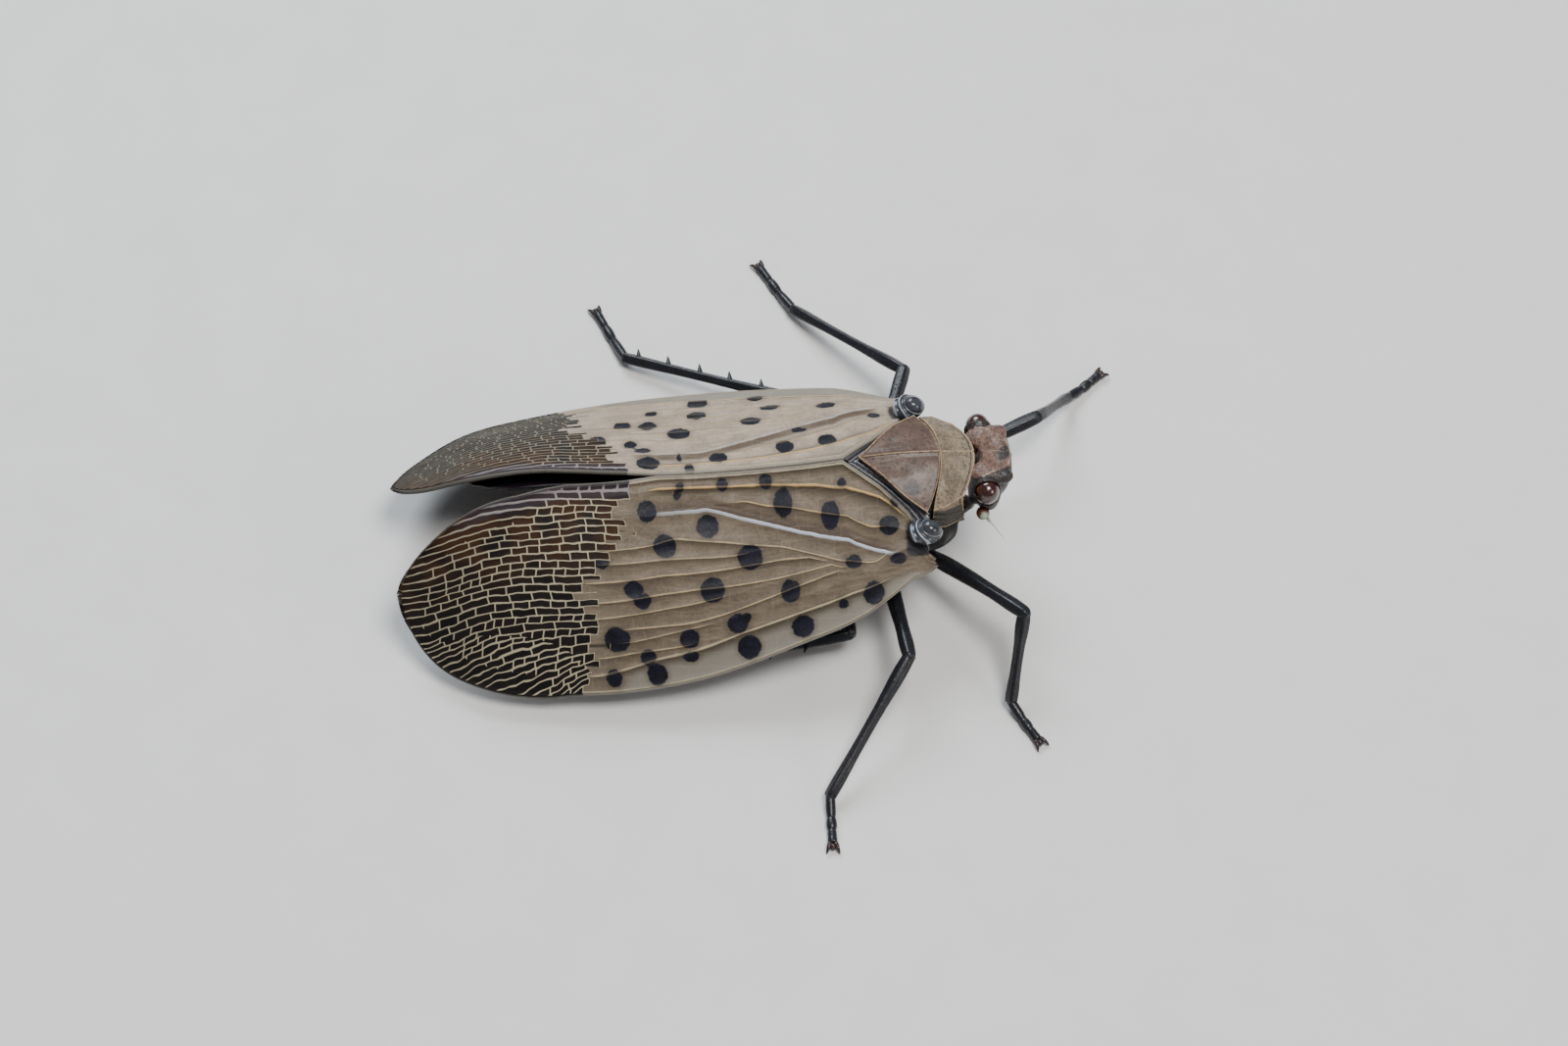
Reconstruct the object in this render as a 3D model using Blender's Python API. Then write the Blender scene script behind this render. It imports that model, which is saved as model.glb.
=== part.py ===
"""Adult spotted lanternfly at rest, life size, standing on six feet at Z = 0.

The head points along +X, the insect's left is +Y and +Z is up. Sizes below are in millimetres.
"""

import math

import bmesh
import bpy
import numpy as np
from mathutils import Matrix, Vector

MM = 0.001
GAP = 0.25

# Roof made by the two closed forewings, by station along X: side slope in degrees and ridge height.
ROOF_X = (-16.0, -14.3, -12.3, -9.3, -6.3, -3.3, 0.7, 4.7, 7.0)
ROOF_SLOPE = (44.0, 43.5, 43.0, 42.0, 38.3, 35.5, 33.5, 34.5, 36.0)
ROOF_RIDGE = (5.3, 5.75, 6.68, 7.25, 6.9, 6.62, 6.65, 7.05, 7.3)
ROOF_CAMBER = 0.45
CAMBER_FADE = 5.0
ROOF_SPAN = 9.2

# Forewing outline, by distance across the roof from the midline.
WING_BASE_X = 6.6
WING_APEX_X = -15.26
WING_APEX_W = 3.55
WING_COSTA_X = (-9.3, -6.3, -3.3, 0.7, 3.7, 5.7)
WING_COSTA_W = (9.27, 9.0, 8.51, 7.42, 6.47, 5.3)
WING_SHOULDER_W = 4.7
WING_INNER_X = (-10.3, -8.3, -5.7, -4.5, 3.1, 4.5, 5.5, 5.85, 6.25, 6.6)
WING_INNER_W = (0.70, 0.42, 0.3, 0.18, 0.18, 1.32, 2.45, 3.1, 4.2, 4.65)
WING_ROUND = 1.85
WING_TRIM = 0.05
WING_FRONT_TRIM = 0.15
WING_THICK = 0.5
WIDE_RIM = 3.0
WING_ROWS = 27
VEIN_HEIGHT = 0.14
VEIN_FOOT = 0.02
VEIN_FADE = 1.5
VEIN_START_X = 4.1
VEIN_END_X = -6.8
VEIN_BEND = 1.7
# Each main vein as its share of the wing's width at the base and at the tip.
VEINS = (
    (0.12, 0.045),
    (0.36, 0.085),
    (0.51, 0.13),
    (0.56, 0.30),
    (0.61, 0.45),
    (0.66, 0.61),
    (0.71, 0.83),
)
CLAVAL_VEINS = 2
CLAVUS_END_X = -5.4

HINDWING_FRONT_X = 1.2
HINDWING_APEX_X = -12.4
HINDWING_APEX_W = 3.45
HINDWING_INSET = 1.7
HINDWING_INNER_W = 0.45
HINDWING_NECK = 0.55
HINDWING_NECK_X = -1.0
HINDWING_ROWS = 18
HINDWING_COLUMNS = 9
HINDWING_DEPTH = WING_THICK + 1.5 * GAP

# Rings of the thorax and the abdomen: station, top, bottom and half width.
THORAX = (
    (8.25, 5.8, 3.5, 1.8),
    (7.85, 6.3, 2.75, 2.3),
    (7.25, 6.5, 2.3, 2.85),
    (6.5, 6.5, 2.05, 2.95),
    (5.5, 6.4, 1.95, 2.8),
    (4.0, 6.2, 1.85, 2.55),
    (2.6, 5.4, 1.85, 2.3),
    (1.6, 4.4, 1.85, 2.05),
)
THORAX_RINGS = 16
SHOULDER = (6.62, 2.72, 4.62)
SHOULDER_SIZE = (0.56, 0.48, 0.38)
ABDOMEN = (
    (1.3, 4.15, 1.6, 2.0),
    (-0.5, 4.3, 1.05, 2.4),
    (-3.0, 4.25, 0.85, 2.45),
    (-5.5, 4.25, 0.9, 2.3),
    (-7.5, 4.15, 1.15, 1.9),
    (-9.0, 3.85, 1.55, 1.3),
    (-9.9, 3.4, 2.1, 0.6),
)
ABDOMEN_SEGMENTS = 7
# Stations of one abdominal ring, as shares of its length, and how far each lies in.
SEGMENT_SHARES = (0.06, 0.5, 0.94)
SEGMENT_PINCH = (0.16, 0.04, 0.0)
BODY_SIDES = 24

SHIELD_FRONT_X = 7.1
SHIELD_BOW = 0.75
SHIELD_TIP_X = 3.75
SHIELD_HALF = 2.4
SHIELD_TOP = 6.85
SHIELD_DOME = 0.08
SHIELD_DROP = 0.9
SHIELD_CURVE = 1.6
SHIELD_THICK = 0.6
SHIELD_ROWS = 12
SHIELD_COLUMNS = 15
KEEL = 0.1

COLLAR_FRONT_X = 8.55
COLLAR_LENGTH = 1.4
COLLAR_BOW = 0.95
COLLAR_TURN = 80
COLLAR_TOP = 6.62
COLLAR_RISE = 0.2
COLLAR_HEIGHT = 1.95
COLLAR_HALF = 1.95
COLLAR_FLARE = 0.75
COLLAR_LOBE = 0.45
COLLAR_THICK = 0.5
COLLAR_ROWS = 7
COLLAR_COLUMNS = 23

# Level slices of the head, crown to mouth: height, rear, front, half width and forward tilt.
HEAD = (
    (6.40, 9.15, 9.65, 0.6, -0.12),
    (6.58, 8.92, 9.87, 1.02, -0.16),
    (6.58, 8.84, 9.98, 1.14, -0.16),
    (6.42, 8.80, 10.06, 1.25, -0.12),
    (6.1, 8.75, 10.1, 1.34, -0.05),
    (5.75, 8.7, 10.08, 1.36, 0.0),
    (5.3, 8.65, 9.98, 1.34, 0.0),
    (4.8, 8.6, 9.8, 1.22, 0.0),
    (4.35, 8.55, 9.57, 1.06, 0.0),
    (4.12, 8.52, 9.33, 0.9, 0.0),
    (3.85, 8.5, 9.32, 0.82, 0.0),
    (3.4, 8.5, 9.02, 0.55, 0.0),
    (3.15, 8.55, 8.88, 0.36, 0.0),
)
HEAD_SIDES = 28
HEAD_CORNER = 0.72
FACE_KEEL = 0.08
FACE_KEEL_SIDES = (0, 3, HEAD_SIDES - 3)
CROWN_RINGS = 5
CHEEK = (9.02, 1.2, 5.45)
CHEEK_SIZE = (0.54, 0.8, 0.95)
KNOB = (9.74, 1.1, 6.3)
KNOB_SIZE = (0.3, 0.26, 0.27)
EYE = (8.95, 1.55, 6.0)
EYE_SIZE = (0.58, 0.5, 0.55)
ANTENNA = (8.78, 1.93, 4.92)
BULB_SIZE = 0.34
BRISTLE = (0.42, 0.5, -0.3)
BRISTLE_SHARES = (0.1, 0.4, 0.7, 1.0, 1.6)
BRISTLE_RADII = (0.14, 0.13, 0.11, 0.08, 0.03)
TEGULA = (6.35, 3.0, 5.72)
TEGULA_SIZE = (0.46, 0.38, 0.32)
# Station, height and radius of the beak, from the mouth back between the legs.
ROSTRUM = ((8.6, 2.72, 0.34), (7.6, 1.75, 0.31), (6.0, 1.3, 0.27), (4.2, 1.2, 0.25), (2.9, 1.2, 0.16))

# Coxa and hip of each pair of legs, on the left, then the knee, ankle and toe of each leg.
HIPS = {
    "fore": ((6.5, 0.95, 2.9), (6.5, 1.8, 1.95)),
    "mid": ((4.85, 1.3, 2.6), (4.85, 2.3, 1.75)),
    "hind": ((3.0, 1.0, 2.4), (2.8, 1.9, 1.6)),
}
LEGS = {
    "fore_left": ((11.9, 3.72, 3.1), (13.8, 6.3, 0.5), (15.3, 7.5, 0.0)),
    "fore_right": ((10.06, -5.99, 3.5), (9.4, -8.4, 0.5), (10.3, -10.1, 0.0)),
    "mid_left": ((6.64, 6.94, 2.6), (2.5, 11.9, 0.5), (1.3, 14.4, 0.0)),
    "mid_right": ((5.2, -7.3, 3.0), (1.5, -12.1, 0.5), (1.4, -14.1, 0.0)),
    "hind_left": ((2.2, 6.27, 1.8), (-5.0, 10.0, 0.5), (-6.0, 12.6, 0.0)),
    "hind_right": ((3.04, -5.26, 1.6), (-4.9, -5.6, 0.5), (-7.6, -5.85, 0.0)),
}
LEG_SIDES = 10
# Thickness of each limb, with shares along it and of its thickness from the body outwards.
FEMUR_THICK = 0.34
COXA_SHARES = (0.0, 0.45, 0.85)
FEMUR_SHARES = (0.06, 0.16, 0.35, 0.6, 0.85, 0.96, 1.02, 1.06)
FEMUR_FORM = (1.5, 1.5, 1.2, 1.0, 0.88, 0.95, 1.05, 1.0, 1.0, 0.95, 0.6)
TIBIA_THICK = 0.26
TIBIA_SHARES = (-0.05, -0.02, 0.04, 0.1, 0.4, 0.75, 0.94, 1.0, 1.04)
TIBIA_FORM = (0.7, 1.1, 1.15, 1.0, 0.96, 0.96, 1.15, 1.1, 0.7)
TARSUS_THICK = 0.25
HEEL_SHARES = (0.0, 0.4, 0.85)
TOE_SHARES = (0.1, 0.35, 0.55, 0.8, 0.95)
TARSUS_FORM = (0.8, 0.95, 0.95, 1.1, 0.86, 1.08, 0.86, 1.0, 0.7)
TARSUS_LAP = 0.15
FLAT_DEPTH = 0.09
CLAW_LENGTH = 0.55
CLAW_SPREAD = 0.32
CLAW_ROOT = 0.15
CLAW_APART = 0.08
CLAW_ARCH = ((0.0, 0.0), (0.45, 0.06), (0.85, -0.01), (1.0, -0.1))
CLAW_RADII = (0.15, 0.13, 0.09, 0.03)
SPINES = 5
SPINE_LENGTH = 0.6
SPINE_LIFT = 0.15
SPINE_SHARES = (0.22, 0.92)
SPINE_RADII = (0.23, 0.13, 0.03)


def clear_scene():
    for item in list(bpy.data.objects):
        bpy.data.objects.remove(item, do_unlink=True)


def paint(name, colour, roughness=0.5, coat=0.0):
    material = bpy.data.materials.new(name)
    material.use_nodes = True
    shader = material.node_tree.nodes["Principled BSDF"]
    shader.inputs["Base Color"].default_value = (*colour, 1.0)
    shader.inputs["Roughness"].default_value = roughness
    shader.inputs["Coat Weight"].default_value = coat
    return material


def clamp(value):
    return min(max(value, 0.0), 1.0)


def curve(x, stations, values):
    """Smooth cubic through the values, held level beyond both ends."""
    stations = np.asarray(stations, float)
    values = np.asarray(values, float)
    x = min(max(x, stations[0]), stations[-1])
    i = min(int(np.searchsorted(stations, x, "right")) - 1, len(stations) - 2)
    slopes = np.gradient(values, stations)
    span = stations[i + 1] - stations[i]
    t = (x - stations[i]) / span
    start = (2 * t**3 - 3 * t**2 + 1) * values[i] + (t**3 - 2 * t**2 + t) * span * slopes[i]
    end = (3 * t**2 - 2 * t**3) * values[i + 1] + (t**3 - t**2) * span * slopes[i + 1]
    return start + end


def rounded(share, power):
    return max(1.0 - share**power, 0.0) ** (1.0 / power)


def mirrored(point, side):
    return (point[0], side * point[1], point[2])


def along(start, end, shares):
    start = np.asarray(start, float)
    end = np.asarray(end, float)
    return [start + (end - start) * t for t in shares]


def heading(start, end):
    step = np.asarray(end, float) - np.asarray(start, float)
    return step / np.linalg.norm(step)


def finish(name, bm, material):
    """Named smooth object with every face turned outwards."""
    bmesh.ops.recalc_face_normals(bm, faces=bm.faces)
    if bm.calc_volume(signed=True) < 0:
        bmesh.ops.reverse_faces(bm, faces=bm.faces)
    for face in bm.faces:
        face.smooth = True
    mesh = bpy.data.meshes.new(name)
    bm.to_mesh(mesh)
    bm.free()
    item = bpy.data.objects.new(name, mesh)
    item.data.materials.append(material)
    bpy.context.scene.collection.objects.link(item)
    return item


def solid(name, verts, faces, material):
    """Object from points in millimetres."""
    bm = bmesh.new()
    points = [bm.verts.new(Vector(v) * MM) for v in verts]
    for face in faces:
        bm.faces.new([points[i] for i in face])
    return finish(name, bm, material)


def plate(name, surface, ridge, rows, columns, thick, material, upright=False):
    """Closed sheet under a surface, cut into like triangles on both faces, with ridges on the upper one.

    If upright, its first rim is vertical and, where it is wide, the rest turns square to the surface
    by the last rim.
    """
    top = np.array([[surface(i / (rows - 1), j) for j in range(columns)] for i in range(rows)])
    normal = np.cross(np.gradient(top, axis=0), np.gradient(top, axis=1))
    normal /= np.linalg.norm(normal, axis=2, keepdims=True)
    normal *= np.sign(normal[..., 2:3].sum())
    if upright:
        wide = np.linalg.norm(top[:, -1] - top[:, 0], axis=1, keepdims=True)
        square = (np.linspace(0.0, 1.0, columns) * np.minimum(wide / WIDE_RIM, 1.0))[..., None]
        normal = normal * square + np.array((0.0, 0.0, 1.0)) / normal[..., 2:3] * (1.0 - square)
    low = top - normal * thick
    rise = np.array([[ridge(i / (rows - 1), j) for j in range(columns)] for i in range(rows)])
    top += normal * rise[..., None]
    verts = [*top.reshape(-1, 3), *low.reshape(-1, 3)]
    count = rows * columns
    faces = []
    for i in range(rows - 1):
        for j in range(columns - 1):
            a = i * columns + j
            b, c, d = a + 1, a + columns + 1, a + columns
            for corners in ((a, b, c), (a, c, d)):
                faces += [corners, tuple(k + count for k in corners[::-1])]
    edge = list(range(columns))
    edge += [i * columns + columns - 1 for i in range(1, rows)]
    edge += [(rows - 1) * columns + j for j in range(columns - 2, -1, -1)]
    edge += [i * columns for i in range(rows - 2, 0, -1)]
    for a, b in zip(edge, edge[1:] + edge[:1]):
        faces += [(a, a + count, b + count), (a, b + count, b)]
    return solid(name, verts, faces, material)


def loft(name, rings, material):
    """Closed skin over rings of equal count, with a point in the middle of each end."""
    rings = np.asarray(rings, float)
    total, sides = rings.shape[:2]
    verts = [*rings.reshape(-1, 3), rings[0].mean(axis=0), rings[-1].mean(axis=0)]
    faces = []
    for i in range(total - 1):
        for j in range(sides):
            a = i * sides + j
            b = i * sides + (j + 1) % sides
            faces.append((a, b, b + sides, a + sides))
    last = (total - 1) * sides
    for j in range(sides):
        k = (j + 1) % sides
        faces.append((k, j, total * sides))
        faces.append((last + j, last + k, total * sides + 1))
    return solid(name, verts, faces, material)


def tube(name, path, radii, material, sides=LEG_SIDES):
    """Round limb along a path, thicker or thinner by the radii."""
    path = np.asarray(path, float)
    tangents = np.gradient(path, axis=0)
    tangents /= np.linalg.norm(tangents, axis=1, keepdims=True)
    rings = []
    for point, tangent, radius in zip(path, tangents, radii):
        aside = np.cross(tangent, (0.0, 0.0, 1.0))
        aside /= np.linalg.norm(aside)
        up = np.cross(aside, tangent)
        turns = [2 * math.pi * k / sides for k in range(sides)]
        rings.append([point + radius * (math.cos(t) * aside + math.sin(t) * up) for t in turns])
    return loft(name, rings, material)


def oval(name, centre, size, material, segments=16, rings=10):
    bm = bmesh.new()
    place = Matrix.Translation(Vector(centre) * MM) @ Matrix.Diagonal((*(s * MM for s in size), 1.0))
    bmesh.ops.create_uvsphere(bm, u_segments=segments, v_segments=rings, radius=1.0, matrix=place)
    return finish(name, bm, material)


def pair_of(name, centre, size, material):
    return [oval(f"{name}_{side}", mirrored(centre, side), size, material) for side in (-1, 1)]


def islands(bm):
    """Groups of faces that hang together."""
    left = set(bm.faces)
    while left:
        waiting = [left.pop()]
        island = list(waiting)
        while waiting:
            for edge in waiting.pop().edges:
                near = [face for face in edge.link_faces if face in left]
                left.difference_update(near)
                waiting += near
                island += near
        yield island


def keep_largest(item):
    """Drops loose scraps and sealed hollows."""
    bm = bmesh.new()
    bm.from_mesh(item.data)
    groups = sorted(islands(bm), key=lambda island: sum(face.calc_area() for face in island))
    for group in groups[:-1]:
        bmesh.ops.delete(bm, geom=group, context="FACES")
    bm.to_mesh(item.data)
    bm.free()


def combine(item, others, operation):
    """One applied Boolean of a body with closed pieces, which stay in the scene."""
    group = bpy.data.collections.new(item.name + "_others")
    for other in others:
        group.objects.link(other)
    change = item.modifiers.new("Combine", "BOOLEAN")
    change.operation = operation
    change.solver = "EXACT"
    change.operand_type = "COLLECTION"
    change.collection = group
    bpy.context.view_layer.objects.active = item
    bpy.ops.object.modifier_apply(modifier=change.name)
    bpy.data.collections.remove(group)
    keep_largest(item)


def join(item, extras):
    combine(item, extras, "UNION")
    discard(extras)


def carve(item, cutters):
    combine(item, cutters, "DIFFERENCE")


def discard(pieces):
    for piece in pieces:
        bpy.data.objects.remove(piece, do_unlink=True)


def slice_off(item, place, outward):
    """Removes what lies outward of a plane, and closes the cut."""
    bm = bmesh.new()
    bm.from_mesh(item.data)
    cut = bmesh.ops.bisect_plane(
        bm,
        geom=[*bm.verts, *bm.edges, *bm.faces],
        dist=1e-7,
        plane_co=place * MM,
        plane_no=outward,
        clear_outer=True,
    )
    rim = [edge for edge in cut["geom_cut"] if isinstance(edge, bmesh.types.BMEdge)]
    bmesh.ops.edgeloop_fill(bm, edges=rim)
    bmesh.ops.recalc_face_normals(bm, faces=bm.faces)
    bm.to_mesh(item.data)
    bm.free()
    keep_largest(item)


def roof(x, w, side=1.0):
    """Point on the closed wings' upper surface, w across the roof from the midline."""
    slope = math.radians(curve(x, ROOF_X, ROOF_SLOPE))
    ridge = curve(x, ROOF_X, ROOF_RIDGE)
    fade = clamp((x - ROOF_X[0]) / CAMBER_FADE) * clamp((ROOF_X[-1] + 2 * GAP - x) / 4.0)
    bulge = ROOF_CAMBER * math.sin(math.pi * clamp(w / ROOF_SPAN)) * fade
    y = w * math.cos(slope) + bulge * math.sin(slope)
    z = ridge - w * math.sin(slope) + bulge * math.cos(slope)
    return np.array((x, side * y, z))


def roof_below(x, w, depth, side=1.0):
    """Point straight under the roof, where the gap square to it is the depth."""
    step = roof(x, w + 0.1) - roof(x, w - 0.1)
    return roof(x, w, side) - np.array((0.0, 0.0, depth * np.linalg.norm(step) / step[1]))


def costa(x):
    """Outer edge of the forewing."""
    if x < WING_COSTA_X[0]:
        share = (WING_COSTA_X[0] - x) / (WING_COSTA_X[0] - WING_APEX_X)
        return WING_APEX_W + (WING_COSTA_W[0] - WING_APEX_W) * rounded(share, WING_ROUND)
    if x > WING_COSTA_X[-1]:
        share = (x - WING_COSTA_X[-1]) / (WING_BASE_X - WING_COSTA_X[-1])
        return WING_SHOULDER_W + (WING_COSTA_W[-1] - WING_SHOULDER_W) * rounded(share, 2.0)
    return curve(x, WING_COSTA_X, WING_COSTA_W)


def inner(x):
    """Inner edge of the forewing, along the midline and then round the apex."""
    if x < WING_INNER_X[0]:
        share = (WING_INNER_X[0] - x) / (WING_INNER_X[0] - WING_APEX_X)
        return WING_APEX_W - (WING_APEX_W - WING_INNER_W[0]) * rounded(share, WING_ROUND)
    return float(np.interp(x, WING_INNER_X, WING_INNER_W))


def cosine(start, end, share):
    """Station between two ends, closer set near them."""
    return start + (end - start) * (1 - math.cos(math.pi * share)) / 2


def wing_columns(x):
    """Shares across the wing of the mesh lines, three to a vein, and each line's rise."""
    fan = clamp((x - VEIN_END_X) / (VEIN_START_X - VEIN_END_X)) ** VEIN_BEND
    root = clamp((x - VEIN_START_X) / (WING_BASE_X - VEIN_START_X))
    centres = []
    for number, (base, tip) in enumerate(VEINS):
        even = (number + 1) / (len(VEINS) + 1)
        centres.append((tip + (base - tip) * fan) * (1.0 - root) + even * root)
    bounds = [0.0, *centres, 1.0]
    shares = [0.0]
    rises = [0.0]
    for number, centre in enumerate(centres):
        room = min(centre - bounds[number], bounds[number + 2] - centre)
        foot = min(VEIN_FOOT, room / 3)
        end_x = CLAVUS_END_X if number < CLAVAL_VEINS else WING_APEX_X + VEIN_FADE / 2
        rise = clamp((x - end_x) / VEIN_FADE) * clamp((WING_BASE_X - x) / VEIN_FADE)
        shares += [centre - foot, centre, centre + foot]
        rises += [0.0, VEIN_HEIGHT * rise, 0.0]
    return shares + [1.0], rises + [0.0]


def forewing(name, side, material):
    front = WING_BASE_X - WING_FRONT_TRIM
    back = WING_APEX_X + WING_TRIM

    def surface(s, j):
        x = cosine(front, back, s)
        return roof(x, inner(x) + (costa(x) - inner(x)) * wing_columns(x)[0][j], side)

    def vein(s, j):
        return wing_columns(cosine(front, back, s))[1][j]

    columns = 3 * len(VEINS) + 2
    return plate(name, surface, vein, WING_ROWS, columns, WING_THICK, material, upright=True)


def hindwing(name, side, material):
    front = HINDWING_FRONT_X - WING_TRIM
    back = HINDWING_APEX_X + 2 * WING_TRIM

    def surface(s, j):
        x = cosine(front, back, s)
        share = clamp((WING_COSTA_X[0] - x) / (WING_COSTA_X[0] - HINDWING_APEX_X))
        neck = clamp((x - HINDWING_NECK_X) / (HINDWING_FRONT_X - HINDWING_NECK_X))
        reach = rounded(share, 2.0) * (1.0 - HINDWING_NECK * neck**2)
        outer = min(costa(x), WING_COSTA_W[1]) - HINDWING_INSET
        far = HINDWING_APEX_W + (outer - HINDWING_APEX_W) * reach
        near = HINDWING_APEX_W - (HINDWING_APEX_W - HINDWING_INNER_W) * reach
        return roof_below(x, near + (far - near) * j / (HINDWING_COLUMNS - 1), HINDWING_DEPTH, side)

    size = (HINDWING_ROWS, HINDWING_COLUMNS, WING_THICK)
    return plate(name, surface, lambda s, j: 0.0, *size, material, upright=True)


def shield_height(y):
    """Height of the mesonotum's upper face, and its sideways slope."""
    edge = min(abs(y) / SHIELD_HALF, 1.0)
    slope = SHIELD_DROP * SHIELD_CURVE / SHIELD_HALF * edge ** (SHIELD_CURVE - 1)
    return SHIELD_TOP - SHIELD_DROP * edge**SHIELD_CURVE, slope


def shield_front(y):
    return SHIELD_FRONT_X - SHIELD_BOW * min(abs(y) / SHIELD_HALF, 1.0) ** 2


def shield(name, material):
    """Mesonotum, a domed triangle with a keel down the middle."""
    middle = SHIELD_COLUMNS // 2

    def surface(s, j):
        v = j / middle - 1.0
        front = shield_front(SHIELD_HALF * v)
        taper = 0.95 * s
        y = SHIELD_HALF * v * (1.0 - taper)
        dome = SHIELD_DOME * math.sin(math.pi * s)
        return (front + (SHIELD_TIP_X - front) * taper, y, shield_height(y)[0] + dome)

    size = (SHIELD_ROWS, SHIELD_COLUMNS, SHIELD_THICK)
    return plate(name, surface, lambda s, j: KEEL * (j == middle), *size, material)


def collar_form(x):
    """Half width and top of the pronotum's arch at a station."""
    share = clamp((COLLAR_FRONT_X - x) / COLLAR_LENGTH)
    return COLLAR_HALF + COLLAR_FLARE * share, COLLAR_TOP + COLLAR_RISE * share


def collar(name, material):
    """Pronotum, a saddle between the head and the mesonotum."""
    middle = COLLAR_COLUMNS // 2

    def surface(s, j):
        v = j / middle - 1.0
        turn = math.radians(COLLAR_TURN) * v
        widest = (COLLAR_HALF + COLLAR_FLARE) * math.sin(turn)
        hind = shield_front(widest) + 1.25 * GAP + COLLAR_LOBE * abs(v) ** 3
        front = COLLAR_FRONT_X - COLLAR_BOW * abs(v) ** 1.5
        x = front + (hind - front) * s
        half, top = collar_form(x)
        return (x, half * math.sin(turn), top - COLLAR_HEIGHT * (1.0 - math.cos(turn)))

    size = (COLLAR_ROWS, COLLAR_COLUMNS, COLLAR_THICK)
    return plate(name, surface, lambda s, j: KEEL * (j == middle), *size, material)


def ceiling(x, y):
    """Height that the thorax may reach under the plates and wings above it."""
    top, slope = shield_height(y)
    limit = top - (SHIELD_THICK + GAP) * math.hypot(1.0, slope)
    if x > shield_front(y) - GAP:
        half, top = collar_form(x)
        depth = COLLAR_THICK + GAP
        bend = clamp(1.0 - (y / (half - depth - GAP)) ** 2)
        lowest = COLLAR_HEIGHT * math.cos(math.radians(COLLAR_TURN)) - 2 * GAP
        arch = max((COLLAR_HEIGHT - depth) * math.sqrt(bend), lowest)
        limit = min(limit, top - COLLAR_HEIGHT + arch)
    lean = math.cos(math.radians(curve(x, ROOF_X, ROOF_SLOPE)))
    across = abs(y) / lean
    if x < WING_BASE_X + GAP and across > inner(x) - 3 * GAP:
        across -= (roof(x, across)[1] - abs(y)) / lean
        limit = min(limit, roof_below(x, across, WING_THICK + 1.4 * GAP)[2])
    return limit


def body(name, rows, stations, material, pinch=None, grow=0.0, lid=None):
    """Barrel through rings, narrowed by the pinch at each station and held under the lid."""
    table = np.array(rows[::-1])
    rings = []
    for number, x in enumerate(stations):
        top, bottom, half = (curve(x, table[:, 0], table[:, k]) for k in (1, 2, 3))
        squeeze = (0.0 if pinch is None else pinch[number % len(pinch)]) - grow
        tall = (top - bottom) / 2 - squeeze
        ring = []
        for k in range(BODY_SIDES):
            turn = 2 * math.pi * k / BODY_SIDES
            y = (half - squeeze) * math.cos(turn)
            z = (top + bottom) / 2 + tall * math.sin(turn)
            ring.append((x, y, z if lid is None else min(z, lid(x, y) + grow)))
        rings.append(ring)
    return loft(name, rings, material)


def thorax(name, material, grow=0.0):
    """Chest under the plates, with a shoulder under each tegula."""
    stations = np.linspace(THORAX[0][0] + grow, THORAX[-1][0] - grow, THORAX_RINGS)
    chest = body(name, THORAX, stations, material, grow=grow, lid=ceiling)
    size = [s + grow for s in SHOULDER_SIZE]
    join(chest, pair_of(name + "_shoulder", SHOULDER, size, material))
    return chest


def abdomen(name, material):
    """Barrel of overlapping rings, each a little wider at its rear edge."""
    front, back = ABDOMEN[0][0], ABDOMEN[-1][0]
    length = (back - front) / ABDOMEN_SEGMENTS
    stations = [front + length * (k + share) for k in range(ABDOMEN_SEGMENTS) for share in SEGMENT_SHARES]
    return body(name, ABDOMEN, stations, material, pinch=SEGMENT_PINCH)


def head(name, material):
    """Head with a hollow crown, a keeled face, and a knob before and a cheek under each eye."""
    rings = []
    for number in range(2 * len(HEAD) - 1):
        above, below = HEAD[number // 2], HEAD[(number + 1) // 2]
        height, rear, front, half, tilt = ((p + q) / 2 for p, q in zip(above, below))
        ring = []
        for k in range(HEAD_SIDES):
            turn = 2 * math.pi * k / HEAD_SIDES
            across = math.copysign(abs(math.sin(turn)) ** HEAD_CORNER, math.sin(turn))
            ahead = math.copysign(abs(math.cos(turn)) ** HEAD_CORNER, math.cos(turn)) * (front - rear) / 2
            keel = FACE_KEEL * (k in FACE_KEEL_SIDES and number >= CROWN_RINGS)
            ring.append(((rear + front) / 2 + ahead + keel, half * across, height + tilt * ahead))
        rings.append(ring)
    skull = loft(name, rings, material)
    join(skull, pair_of(name + "_cheek", CHEEK, CHEEK_SIZE, material))
    join(skull, pair_of(name + "_knob", KNOB, KNOB_SIZE, material))
    seats = []
    for centre, size in ((EYE, EYE_SIZE), (ANTENNA, [BULB_SIZE] * 3)):
        seats += pair_of(name + "_seat", centre, [s + GAP for s in size], material)
    carve(skull, seats)
    discard(seats)
    return skull


def antenna(name, side, material):
    centre = np.array(mirrored(ANTENNA, side))
    bulb = oval(name, centre, [BULB_SIZE] * 3, material, 14, 8)
    reach = np.array(mirrored(BRISTLE, side))
    path = [centre + reach * share for share in BRISTLE_SHARES]
    join(bulb, [tube(name + "_bristle", path, BRISTLE_RADII, material, 8)])
    return bulb


def joints_of(label):
    """Joint centres of one leg, from the coxa to the toe."""
    pair, side = label.split("_")
    return [mirrored(point, 1 if side == "left" else -1) for point in HIPS[pair]] + list(LEGS[label])


def mitre(limb, before, joint, after, keep):
    """Flat cut at a joint, halfway between two limbs, that keeps the part before (-1) or after (1) it."""
    halfway = heading((0, 0, 0), heading(before, joint) + heading(joint, after))
    slice_off(limb, np.array(joint) + halfway * keep * GAP / 2, -halfway * keep)


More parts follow.
